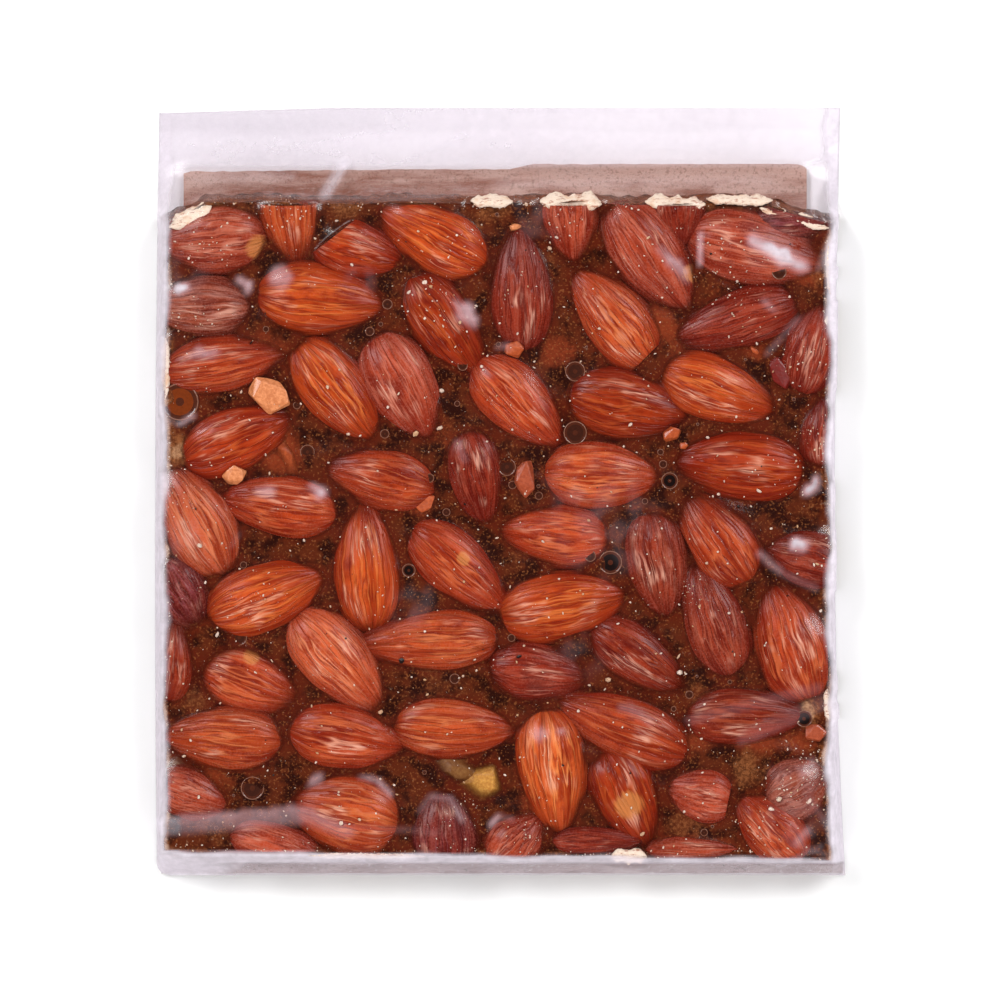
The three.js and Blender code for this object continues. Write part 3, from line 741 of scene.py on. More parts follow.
def film_surface(film):
    """Clear film: it lets the contents through, tints them a little and mirrors the lights. Painted
    highlights whiten it along creases and in patches, and a painted shade greys the flap.
    """
    material, g = new_material("clear film")
    place = object_millimetres(g)
    crinkle = g.noise(place, 0.45, 4.0, 0.65)
    cloud = g.noise(place, 0.35, 4.0, 0.7)
    mottle = g.noise(place, 0.5, 3.0, 0.6)
    bump = g.bump(crinkle, 0.2, 0.2)
    gloss = g.shader("Glossy", (1, 1, 1), {"Roughness": film.roughness, "Normal": bump})
    facing = g.node("ShaderNodeLayerWeight", None, {"Blend": 0.5, "Normal": bump}, "Facing")
    sheen = g.blend(0.02 + 0.35 * facing**5, g.shader("Transparent", film.tint), gloss)
    # gleam holds the milky creases and the painted highlights
    gleam = g.attribute("gleam")
    x, y, _ = g.parts(place)
    inside = g.step(60.5 - g.math("ABSOLUTE", x), 0.0, 1.0)  # over the slab, not over its margins
    inside = inside * g.step(54.0 - y, 0.0, 1.0) * g.step(y + 68.0, 0.0, 1.0)
    haze = g.attribute("haze")
    # the veil turns rosy where the milkiness and the painted highlights are faint, over the slab
    faint = inside * g.step(gleam + haze, 0.01, 0.06) * (1 - g.step(gleam, 0.3, 0.6))
    rosy = g.shader("Diffuse", (0.86, 0.50, 0.53))
    veil = g.blend(faint * 0.8, g.shader("Diffuse", film.veil), rosy)
    haze = haze * (0.55 + 0.9 * cloud) + gleam * (0.55 + 0.9 * mottle)
    milky = g.blend(g.clamp(haze + 0.07 * facing**4), sheen, veil)
    # painted shade: a grey sheet laid over the flap, strongest at the pouch's mouth
    dim = g.attribute("dim") * (0.85 + 0.3 * cloud)
    return put_out(material, g, g.blend(dim, milky, g.shader("Diffuse", (0.42, 0.38, 0.42))))


def fold_surface(film):
    """Film folded double, browned with flecks, and a dark line at the fold."""
    material, g = new_material("folded film")
    x, y, z = g.parts(object_millimetres(g))
    smear = g.noise(g.vector(x * 0.12, y * 0.5, z), 1.0, 4.0, 0.65)
    fleck = g.noise(g.vector(x * 1.3, y * 2.6, z), 1.0, 3.0, 0.6)
    colour = g.mix(g.step(smear, 0.35, 0.65), (0.32, 0.215, 0.20), (0.50, 0.38, 0.37))
    colour = g.mix(g.step(fleck, 0.58, 0.70), colour, (0.66, 0.58, 0.58))
    colour = g.mix(1 - g.step(fleck, 0.30, 0.38), colour, (0.17, 0.11, 0.10))
    colour = g.mix(g.attribute("crease") * 0.75, colour, (0.20, 0.14, 0.15))
    cover = g.clamp(0.12 + 0.78 * g.attribute("browned") + 0.2 * (fleck - 0.5))
    clear = g.shader("Transparent", film.tint)
    return put_out(material, g, g.blend(cover, clear, g.principled(colour, 0.4)))


def plain_surface(name, colour, roughness, mottled=0.3, scale=1.5):
    """One colour with a fine mottling."""
    material, g = new_material(name)
    grain = g.noise(object_millimetres(g), scale, 3.0, 0.6)
    shade = tuple(channel * (1 - mottled) for channel in colour)
    return put_out(material, g, g.principled(g.mix(grain, shade, colour), roughness))


def toned_surface(name, roughness):
    """A matt grain in its own colour."""
    material, g = new_material(name)
    grain = g.noise(object_millimetres(g), 3.0, 2.0)
    tone = g.attribute("tone", "Color")
    colour = g.mix(g.step(grain, 0.35, 0.65), g.mix(1.0, tone, (0.8, 0.7, 0.6), "MULTIPLY"), tone)
    return put_out(material, g, g.principled(colour, roughness))


# ---- meshes ----


def new_object(name, mesh):
    made = bpy.data.objects.new(name, mesh)
    bpy.context.scene.collection.objects.link(made)
    return made


def mesh_from(name, points, faces, material, smooth=True):
    """A mesh from points in millimetres."""
    mesh = bpy.data.meshes.new(name)
    mesh.from_pydata((np.asarray(points) * MM).tolist(), [], faces)
    mesh.polygons.foreach_set("use_smooth", [smooth] * len(mesh.polygons))
    mesh.materials.append(material)
    mesh.update()
    return mesh


def add_values(mesh, name, values, kind="FLOAT"):
    """Stores a number, a vector or a colour for each point."""
    layer = mesh.attributes.new(name, kind, "POINT")
    field = {"FLOAT": "value", "FLOAT_VECTOR": "vector", "FLOAT_COLOR": "color"}[kind]
    layer.data.foreach_set(field, np.asarray(values, np.float32).ravel())


def place_piece(piece):
    """Hides the sealed pouch's solid, which the piece stands for, and hangs the piece on the root body."""
    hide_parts(NODE)
    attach(piece, "root")


def grid_faces(columns, rows):
    """Quads over a grid of points stored row by row."""
    index = np.arange(columns * rows).reshape(rows, columns)
    corners = (index[:-1, :-1], index[:-1, 1:], index[1:, 1:], index[1:, :-1])
    return np.stack([c.ravel() for c in corners], axis=1).tolist()


def wall_faces(upper, lower):
    """Quads between two closed rings of points, given by their numbers."""
    return np.stack([upper, lower, np.roll(lower, -1), np.roll(upper, -1)], axis=1).tolist()


def band(bm, a, b):
    """Quads between two closed rings of vertices."""
    count = len(a)
    return [bm.faces.new((a[k], a[(k + 1) % count], b[(k + 1) % count], b[k])) for k in range(count)]


def mesh_of(bm, name, materials, smooth=False):
    """The finished mesh, with its materials."""
    mesh = bpy.data.meshes.new(name)
    bm.to_mesh(mesh)
    bm.free()
    mesh.polygons.foreach_set("use_smooth", [smooth] * len(mesh.polygons))
    for material in materials:
        mesh.materials.append(material)
    return mesh


def grid_rim(columns, rows):
    """The grid's outer points, counter-clockwise from its first."""
    index = np.arange(columns * rows).reshape(rows, columns)
    sides = [index[0, :-1], index[:-1, -1], index[-1, :0:-1], index[:0:-1, 0]]
    return np.concatenate(sides)


def bake_nodes(piece, group, values):
    """Runs a node group on the piece and keeps the result as its plain mesh."""
    modifier = piece.modifiers.new(group.name, "NODES")
    modifier.node_group = group
    for item in group.interface.items_tree:
        if item.item_type == "SOCKET" and item.in_out == "INPUT" and item.name in values:
            modifier[item.identifier] = values[item.name]
    graph = bpy.context.evaluated_depsgraph_get()
    mesh = bpy.data.meshes.new_from_object(piece.evaluated_get(graph))
    piece.modifiers.clear()
    old = piece.data
    piece.data = mesh
    bpy.data.meshes.remove(old)
    return piece


def node_group(name, inputs):
    """A geometry node group with named inputs: (name, socket type, default)."""
    group = bpy.data.node_groups.new(name, "GeometryNodeTree")
    graph = Graph(group)
    group.interface.new_socket("Geometry", in_out="INPUT", socket_type="NodeSocketGeometry")
    group.interface.new_socket("Geometry", in_out="OUTPUT", socket_type="NodeSocketGeometry")
    for label, kind, default in inputs:
        socket = group.interface.new_socket(label, in_out="INPUT", socket_type=kind)
        if default is not None:
            socket.default_value = default
    entry = group.nodes.new("NodeGroupInput")
    taken = {output.name: Socket(graph, output) for output in entry.outputs if output.name}
    return group, graph, taken


# ---- almonds ----


def unit_almond():
    """One almond of unit size, tip along +X, closer meshed above than below, with its skin's places."""
    rows, above, below = 34, 38, 8
    arcs = np.concatenate(
        [
            np.linspace(-0.12, math.pi + 0.12, above, endpoint=False),
            np.linspace(math.pi + 0.12, 2 * math.pi - 0.12, below, endpoint=False),
        ]
    )
    along = -np.cos(np.linspace(0, math.pi, rows + 1))[1:-1]
    points = [(-1.0, 0.0, 0.0)]
    for t in along:
        ring = math.sqrt(1 - t * t) * (1 - ALMOND_TAPER * t)
        points += [(t, ring * math.cos(a), ring * math.sin(a)) for a in arcs]
    points.append((1.0, 0.0, 0.0))
    count = len(arcs)
    last = len(points) - 1
    faces = []
    for k in range(count):
        n = (k + 1) % count
        faces.append((0, 1 + n, 1 + k))
        faces.append((last, last - count + k, last - count + n))
        for ring in range(len(along) - 1):
            base = 1 + ring * count
            faces.append((base + k, base + n, base + count + n, base + count + k))
    mesh = bpy.data.meshes.new("unit almond")
    mesh.from_pydata(points, [], faces)
    mesh.polygons.foreach_set("use_smooth", [True] * len(mesh.polygons))
    skin = [(-1, math.pi / 2, 0), *((t, a, 0) for t in along for a in arcs), (1, math.pi / 2, 0)]
    add_values(mesh, "skin", skin, "FLOAT_VECTOR")
    return new_object("unit_almond", mesh)


def almond_group(shape, material):
    """Almonds on points: each takes its size and turn from its point, then gets lumps and ridges."""
    inputs = [
        ("Lump Height", "NodeSocketFloat", 0.3 * MM),
        ("Ridge Height", "NodeSocketFloat", 0.12 * MM),
        ("Seed", "NodeSocketInt", 5),
    ]
    group, g, taken = node_group("almonds on points", inputs)

    vector = "FLOAT_VECTOR"
    unit = g.node("GeometryNodeObjectInfo", None, {"Object": shape}, "Geometry")
    turn = g.node("FunctionNodeEulerToRotation", None, {0: g.stored("turn", vector)})
    solid = g.on_points(taken["Geometry"], unit, turn, g.stored("half_size", vector))
    along, around, _ = g.parts(g.stored("skin", vector))
    own = g.stored("own_seed", "FLOAT") + taken["Seed"] * 10.0
    solid = g.node(
        "GeometryNodeStoreNamedAttribute",
        {"data_type": vector, "domain": "POINT"},
        {"Geometry": solid, "Name": "skin", "Value": g.vector(along, around, own)},
    )
    normal = g.node("GeometryNodeInputNormal", None, None)

    def push(geometry, height):
        inputs = {"Geometry": geometry, "Offset": g.scaled(normal, height)}
        return g.node("GeometryNodeSetPosition", None, inputs)

    lumps = g.noise(g.vector(along * 1.1, around * 0.9, own), 1.0, 1.0)
    solid = push(solid, (lumps - 0.5) * 2.0 * taken["Lump Height"])
    ridges = g.noise(g.vector(along * 1.6, around * 5.2, own), 1.0, 3.0, 0.6)
    solid = push(solid, (ridges - 0.5) * 2.0 * taken["Ridge Height"])
    g.node("NodeGroupOutput", None, {0: g.set_material(solid, material)})
    return group


def almond_points(rows):
    """A vertex for each almond, with its size, turn, tone and seed."""
    mesh = bpy.data.meshes.new("almond places")
    places = [(r[0] * MM, r[1] * MM, (r[5] - r[3] * ALMOND_FLATNESS / 2) * MM) for _, r in rows]
    mesh.from_pydata(places, [], [])
    half = np.array((HALF_LONG, HALF_WIDE, ALMOND_FLATNESS / 2)) * MM
    sizes = [(r[2], r[3], r[3]) * half for _, r in rows]
    add_values(mesh, "half_size", sizes, "FLOAT_VECTOR")
    add_values(mesh, "turn", [(0, 0, math.radians(r[4])) for _, r in rows], "FLOAT_VECTOR")
    shades = np.random.default_rng(3).uniform(0.9, 1.1, len(ALMONDS))
    tones = [(*(c * shades[i] for c in TONES[r[6]][0]), 1) for i, r in rows]
    add_values(mesh, "tone", tones, "FLOAT_COLOR")
    add_values(mesh, "bloom", [TONES[r[6]][1] for _, r in rows])
    add_values(mesh, "own_seed", [7.3 * i for i, _ in rows])
    add_values(mesh, "number", [i for i, _ in rows])
    return mesh


def cut_planes(row):
    """The faces that an almond was cut or broken on: (point in millimetres, outward normal)."""
    x, y, long, wide, tip, crown = row[:6]
    turn = math.radians(tip)
    reach_x = math.hypot(long / 2 * math.cos(turn), wide / 2 * math.sin(turn))
    reach_y = math.hypot(long / 2 * math.sin(turn), wide / 2 * math.cos(turn))
    level = bpy.context.scene.chikki_slab.level
    planes = []
    if x - reach_x < slab_left(y) + 0.4:
        planes.append(((slab_left(y) - 0.2, y, level), (-1, 0, 0.12)))
    if x + reach_x > slab_right(y) - 0.4:
        planes.append(((slab_right(y) + 0.2, y, level), (1, 0, 0.12)))
    if y - reach_y < slab_bottom(x) + 0.4:
        planes.append(((x, slab_bottom(x) - 0.2, level), (0, -1, 0.1)))
    if y + reach_y > slab_top(x) - 0.4:
        planes.append(((x, SLAB_TOP - 0.1, level), (0, 1, 0.24)))
    if x < SLAB_LEFT + CORNER_LEFT[0] and y > SLAB_TOP - 12:
        point = (SLAB_LEFT + CORNER_LEFT[0], SLAB_TOP, level)
        planes.append((point, (-CORNER_LEFT[1], CORNER_LEFT[0], 2)))
    if x > SLAB_RIGHT - CORNER_RIGHT[0] and y > SLAB_TOP - 5:
        point = (SLAB_RIGHT - CORNER_RIGHT[0], SLAB_TOP, level)
        planes.append((point, (CORNER_RIGHT[1], CORNER_RIGHT[0], 3)))
    if len(row) > 8:
        turn = math.radians(row[7])
        out = (math.cos(turn), math.sin(turn), 0.1)
        planes.append(((x + row[8] * out[0], y + row[8] * out[1], crown - 2), out))
    return planes


def cut_almond(bm, number, point, normal, layer):
    """Cuts one almond of a joined mesh on a plane and closes it with a rimmed face of flesh."""
    verts = [v for v in bm.verts if abs(v[layer] - number) < 0.5]
    edges = {e for v in verts for e in v.link_edges}
    faces = {f for v in verts for f in v.link_faces}
    out = bmesh.ops.bisect_plane(
        bm,
        geom=[*verts, *edges, *faces],
        dist=1e-7,
        plane_co=Vector(point) * MM,
        plane_no=Vector(normal).normalized(),
        clear_outer=True,
    )
    rim = [e for e in out["geom_cut"] if isinstance(e, bmesh.types.BMEdge)]
    if not rim:
        return
    caps = bmesh.ops.edgeloop_fill(bm, edges=rim, mat_nr=1, use_smooth=False)["faces"]
    bmesh.ops.inset_region(bm, faces=caps, thickness=0.28 * MM, use_even_offset=True)
    for cap in caps:
        cap.smooth = False


def make_almonds(name, rows, shape, skin, flesh, sizes):
    """One joined piece of almonds, with those that were cut or broken closed by flesh."""
    piece = new_object(name, almond_points(rows))
    values = {"Lump Height": sizes.lump, "Ridge Height": sizes.ridge, "Seed": sizes.seed}
    bake_nodes(piece, almond_group(shape, skin), values)
    mesh = piece.data
    if flesh.name not in mesh.materials:
        mesh.materials.append(flesh)
    bm = bmesh.new()
    bm.from_mesh(mesh)
    layer = bm.verts.layers.float["number"]
    for number, row in rows:
        for point, normal in cut_planes(row):
            cut_almond(bm, number, point, normal, layer)
    bm.normal_update()
    bm.to_mesh(mesh)
    bm.free()
    paint_almonds(mesh)
    return piece


def paint_almonds(mesh):
    """Stores how high each point stands in its almond, and where the skin is off."""
    count = len(mesh.vertices)
    place = np.empty(count * 3)
    mesh.vertices.foreach_get("co", place)
    x, y, z = place.reshape(-1, 3).T / MM
    number = np.empty(count, np.float32)
    mesh.attributes["number"].data.foreach_get("value", number)
    rows = np.array([row[:6] for row in ALMONDS])[np.rint(number).astype(int)]
    thick = rows[:, 3] * ALMOND_FLATNESS
    add_values(mesh, "height", (z - rows[:, 5] + thick / 2) / (thick / 2))
    bare = np.zeros(count)
    for px, py, reach in BARE_PATCHES:
        bare = np.maximum(bare, 1 - np.hypot(x - px, y - py) / (2 * reach))
    add_values(mesh, "bare", bare)


# ---- crumbs ----


def flakes_group(material):
    """Irregular flakes on points, each with its own size, turn and roughness of outline."""
    inputs = [("Seed", "NodeSocketInt", 4), ("Unevenness", "NodeSocketFloat", 0.5)]
    group, g, taken = node_group("flakes on points", inputs)
    grain = g.node("GeometryNodeMeshIcoSphere", None, {"Radius": 1.0, "Subdivisions": 1}, "Mesh")

    def random_vector(low, high, seed):
        inputs = {0: low, 1: high, "Seed": seed}
        return g.node("FunctionNodeRandomValue", {"data_type": "FLOAT_VECTOR"}, inputs)

    turn = random_vector((0, 0, 0), (FULL_TURN,) * 3, taken["Seed"])
    turn = g.node("FunctionNodeEulerToRotation", None, {0: turn})
    size = g.stored("size", "FLOAT")
    shape = random_vector((0.55, 0.35, 0.3), (1.1, 0.8, 0.6), taken["Seed"] + 1)
    solid = g.on_points(taken["Geometry"], grain, turn, g.scaled(shape, size))
    place = g.node("GeometryNodeInputPosition", None, None)
    inputs = {"Vector": place, "Scale": FLAKE_NOISE, "Detail": 1.0}
    rough = g.node("ShaderNodeTexNoise", None, inputs, "Color")
    centred = g.node("ShaderNodeVectorMath", {"operation": "SUBTRACT"}, {0: rough, 1: (0.5,) * 3})
    inputs = {"Geometry": solid, "Offset": g.scaled(centred, size * taken["Unevenness"])}
    solid = g.node("GeometryNodeSetPosition", None, inputs)
    g.node("NodeGroupOutput", None, {0: g.set_material(solid, material)})
    return group


def crumb_points(places, sizes, tones):
    """A vertex for each crumb on whatever lies highest there."""
    x, y = np.asarray(places, float).T
    z = surface_heights(("caramel", *NUTS), x, y)
    keep = z > 0
    mesh = bpy.data.meshes.new("crumb places")
    points = np.stack([x, y, z + 0.1 * np.asarray(sizes)], axis=-1)[keep] * MM
    mesh.from_pydata(points.tolist(), [], [])
    add_values(mesh, "size", np.asarray(sizes)[keep] * MM / 2)
    add_values(mesh, "tone", np.asarray(tones)[keep], "FLOAT_COLOR")
    return mesh


# ---- the stage ----

# each light's name, place, size and power in watts, and whether its mirror image shows
LIGHTS = [
    (("softbox left", (-0.70, 0.62, 0.90), (0.55, 0.55), 11.5), True),
    (("softbox right", (0.70, 0.62, 0.90), (0.55, 0.55), 10.5), True),
    (("fill front", (0, -1.05, 0.85), (1.8, 0.9), 18.5), False),
]
ROOM_LIGHT = 0.05
FLOOR_REACH = 4000  # millimetres
PICTURE_CENTRE = (-0.094, -1.598)  # the place that the camera looks down on, in millimetres
MIDDLE_HEIGHT = 4.5  # of the slab, from which the camera's distance counts


def area_light(name, place, size, power):
    """A soft light that looks at the slab."""
    light = bpy.data.lights.new(name, "AREA")
    light.shape = "RECTANGLE"
    light.size, light.size_y = size
    light.energy = power
    made = new_object(name, light)
    made.location = place
    made.rotation_euler = (-made.location).to_track_quat("-Z", "Y").to_euler()
    return made


# ---- settings ----


def colour_setting(name, description, default):
    return FloatVectorProperty(name=name, description=description, subtype="COLOR", default=default)


def length_setting(name, description, default):
    return FloatProperty(name=name, description=description, unit="LENGTH", default=default)


class ChikkiSlabSettings(bpy.types.PropertyGroup):
    """Sizes and colours of the caramel"""

    level: FloatProperty(
        name="Level", description="Height of the caramel between the almonds, mm", default=8.7
    )
    clarity: FloatProperty(
        name="Clarity", description="Depth at which the caramel hides what is in it, mm", default=2.6
    )
    dark: colour_setting("Dark", "Deep caramel", (0.020, 0.0026, 0.0008))
    brown: colour_setting("Brown", "Caramel in clearer stretches", (0.088, 0.0150, 0.0038))
    # the caramel's colour close to a nut: the nut's red through it and painted shade
    glow: colour_setting("Glow", "Caramel close to a nut", (0.088, 0.0088, 0.0022))
    olive: colour_setting("Grain", "Grains in the caramel", (0.19, 0.050, 0.013))


class ChikkiAlmondSettings(bpy.types.PropertyGroup):
    """Relief of the almonds"""

    lump: length_setting("Lumps", "Unevenness of each almond", 0.42 * MM)
    ridge: length_setting("Ridges", "Height of the skin's ridges", 0.14 * MM)
    seed: IntProperty(name="Seed", description="Draw of the unevenness", default=1)


class ChikkiFilmSettings(bpy.types.PropertyGroup):
    """The pouch's film"""

    tint: colour_setting("Tint", "What one film lets through", (0.985, 0.97, 0.985))
    veil: colour_setting("Veil", "Colour of the film's haze", (0.82, 0.75, 0.83))
    roughness: FloatProperty(name="Roughness", description="Of its gloss", default=0.16)
    haze: FloatProperty(name="Haze", description="Milkiness all over", default=0.001)


class ChikkiCardSettings(bpy.types.PropertyGroup):
    """The backing card"""

    grey: colour_setting("Grey", "Clean board", (0.55, 0.35, 0.295))
    brown: colour_setting("Brown", "Greasy board", (0.27, 0.095, 0.060))


class ChikkiCrumbSettings(bpy.types.PropertyGroup):
    """Crumbs on the slab"""

    count: IntProperty(name="Specks", description="How many fine specks lie on the slab", default=1700)
    seed: IntProperty(name="Seed", description="Draw of their places", default=8)


class ChikkiStageSettings(bpy.types.PropertyGroup):
    """Camera, light and floor"""

    distance: length_setting("Distance", "Camera above the slab", 1.6)
    span: length_setting("Span", "Width that the picture takes in", 0.188)


# ---- operators ----


class CHIKKI_OT_stage(bpy.types.Operator):
    """Makes the camera, the soft lights and the pale floor"""

    bl_idname = "chikki.stage"
    bl_label = "Stage"

    def execute(self, context):
        stage = context.scene.chikki_stage
        camera = bpy.data.cameras.new("camera")
        camera.sensor_width = 36
        camera.lens = camera.sensor_width * stage.distance / stage.span
        camera.clip_start, camera.clip_end = 0.05, 20
        seen = new_object("camera", camera)
        seen.location = (*(c * MM for c in PICTURE_CENTRE), MIDDLE_HEIGHT * MM + stage.distance)
        context.scene.camera = seen

        corners = [(x * FLOOR_REACH, y * FLOOR_REACH, 0) for x, y in ((-1, -1), (1, -1), (1, 1), (-1, 1))]
        pale = plain_surface("pale floor", (0.93, 0.93, 0.93), 0.9, 0.02, 0.01)
        floor = mesh_from("floor", corners, [(0, 1, 2, 3)], pale, smooth=False)
        new_object("floor", floor)

        for light, glossy in LIGHTS:
            area_light(*light).visible_glossy = glossy
        world = bpy.data.worlds.new("soft room")
        world.use_nodes = True
        background = world.node_tree.nodes["Background"].inputs
        background["Color"].default_value = (1, 1, 1, 1)
        background["Strength"].default_value = ROOM_LIGHT
        context.scene.world = world
        context.scene.view_settings.view_transform = "Standard"
        return {"FINISHED"}


class CHIKKI_OT_almonds(bpy.types.Operator):
    """Makes the whole almonds and those that were cut at the slab's sides or broken"""

    bl_idname = "chikki.almonds"
    bl_label = "Almonds"

    def execute(self, context):
        sizes = context.scene.chikki_almonds
        shape = unit_almond()
        skin, flesh = almond_skin(), almond_flesh()
        numbered = list(enumerate(ALMONDS))
        whole = [(i, row) for i, row in numbered if not cut_planes(row)]
        cut = [(i, row) for i, row in numbered if cut_planes(row)]
        for name, rows in (("whole_almonds", whole), ("cut_almonds", cut)):
            piece = make_almonds(name, rows, shape, skin, flesh, sizes)
            place_piece(piece)
        bpy.data.objects.remove(shape)
        return {"FINISHED"}


class CHIKKI_OT_chunks(bpy.types.Operator):
    """Makes the bare pieces of nut that lie between the almonds"""

    bl_idname = "chikki.chunks"
    bl_label = "Bare pieces"

    def execute(self, context):
        draw = np.random.default_rng(21)
        bm = bmesh.new()
        tone = bm.verts.layers.float_color.new("tone")
        for x, y, long, wide, turn, crown, colour in CHUNKS:
            turn = math.radians(turn)
            made = []
            for k in range(10):
                angle = 2 * math.pi * (k % 5 + draw.uniform(-0.3, 0.3)) / 5
                reach = draw.uniform(0.85, 1.12) * (1.0 if k > 4 else 0.8 if crown > 9.3 else 0.4)
                a, b = reach * math.cos(angle) * long / 2, reach * math.sin(angle) * wide / 2
                down = draw.uniform(0, 0.5) if k < 5 else CHUNK_TALL * draw.uniform(0.35, 0.9)
                place = (
                    x + a * math.cos(turn) - b * math.sin(turn),
                    y + a * math.sin(turn) + b * math.cos(turn),
                    crown - down,
                )
                made.append(bm.verts.new(Vector(place) * MM))
                made[-1][tone] = (*CHUNK_COLOURS[colour], 1)
            hull = bmesh.ops.convex_hull(bm, input=made)
            inside = {v for v in hull["geom_interior"] + hull["geom_unused"] if v in made}
            bmesh.ops.delete(bm, geom=list(inside), context="VERTS")
        piece = new_object("bare_pieces", mesh_of(bm, "bare_pieces", [chunk_surface()]))
        bevel = piece.modifiers.new("worn edges", "BEVEL")
        bevel.width, bevel.segments = 0.35 * MM, 2
        graph = context.evaluated_depsgraph_get()
        piece.data = bpy.data.meshes.new_from_object(piece.evaluated_get(graph))
        piece.modifiers.clear()
        place_piece(piece)
        return {"FINISHED"}


class CHIKKI_OT_cut_faces(bpy.types.Operator):
    """Makes the nuts that show only a cut, crumbling face at the slab's sides"""

    bl_idname = "chikki.cut_faces"
    bl_label = "Cut faces"

    def execute(self, context):
        bm = bmesh.new()
        for number, row in enumerate(CUT_FACES):
            self.strip(bm, number, *row)
        bmesh.ops.recalc_face_normals(bm, faces=bm.faces)
        mesh = mesh_of(bm, "cut_faces", [almond_flesh("cut flesh", 1.6)], smooth=True)
        place_piece(new_object("cut_faces", mesh))
        return {"FINISHED"}

    @staticmethod
    def strip(bm, number, ax, ay, bx, by, width):
        """A ragged bar along a cut, flat towards the light and thick behind, tapering at its ends."""
        way = Vector((bx - ax, by - ay))
        count = max(int(way.length / 0.35), 8)
        out = Vector((-way.y, way.x)).normalized()
        if out.dot(Vector((ax + bx, ay + by + 14))) < 0:
            out = -out
        draw = np.random.default_rng(90 + number)
        knots = np.linspace(0, 1, max(int(way.length / 0.9), 4))
        places = np.linspace(0, 1, count + 1)
        ragged = [np.interp(places, knots, draw.uniform(0.55, 1.25, len(knots))) for _ in range(2)]
        rings = []
        for i in range(count + 1):
            t = i / count
            middle = Vector((ax, ay)) + way * t
            phase = 3.1 * number + t * way.length
            taper = min(1, 5 * t + 0.15, 5 * (1 - t) + 0.15)
            inner, outer = -width * taper * (0.5 + 0.5 * ragged[0][i]), width * taper * ragged[1][i]
            rough = [0.07 * math.sin(5.7 * phase + k * 2.4) for k in range(6)]
            profile = [
                (inner, 9.75), (inner * 0.35, 10.0), (outer * 0.4, 9.3),
                (outer, 7.9), (outer * 0.8, 5.2), (inner, 5.2),
            ]
            ring = []
            for (side, height), off in zip(profile, rough):
                place = middle + out * (side + off)
                ring.append(bm.verts.new(Vector((*place, height + off)) * MM))
            rings.append(ring)
        for a, b in zip(rings, rings[1:]):
            band(bm, a, b)
        bm.faces.new(rings[0])
        bm.faces.new(rings[-1][::-1])


class CHIKKI_OT_bottom_fold(bpy.types.Operator):
    """Makes the doubled, browned strip of film where the pouch's bottom is folded"""

    bl_idname = "chikki.bottom_fold"
    bl_label = "Bottom fold"

    def execute(self, context):
        xs = np.linspace(LOW.x + 1.2, HIGH.x - 0.5, 160)
        low = LOW.y + 0.35 + 0.12 * wander(xs * 2, 1.3)
        high = FOLD_HIGH + 0.1 * wander(xs * 1.5, 0.2)
        lines = [(low, 0.12), (low, 0.5), ((low + high) / 2, 0.66)]
        lines += [(high - 0.3, 0.62), (high, 0.9), (high, 0.12)]
        points = [(x, y[i], z) for i, x in enumerate(xs) for y, z in lines]
        sides = len(lines)
        rings = np.arange(len(points)).reshape(-1, sides)
        faces = [face for a, b in zip(rings, rings[1:]) for face in wall_faces(a, b)]
        faces += [rings[0].tolist(), rings[-1][::-1].tolist()]
        mesh = mesh_from("bottom_fold", points, faces, fold_surface(context.scene.chikki_film))
        add_values(mesh, "browned", smooth_step(-60, -48, np.repeat(xs, sides)))
        add_values(mesh, "crease", np.tile([0, 0, 0, 0.4, 1, 1], len(xs)))
        place_piece(new_object("bottom_fold", mesh))
        return {"FINISHED"}


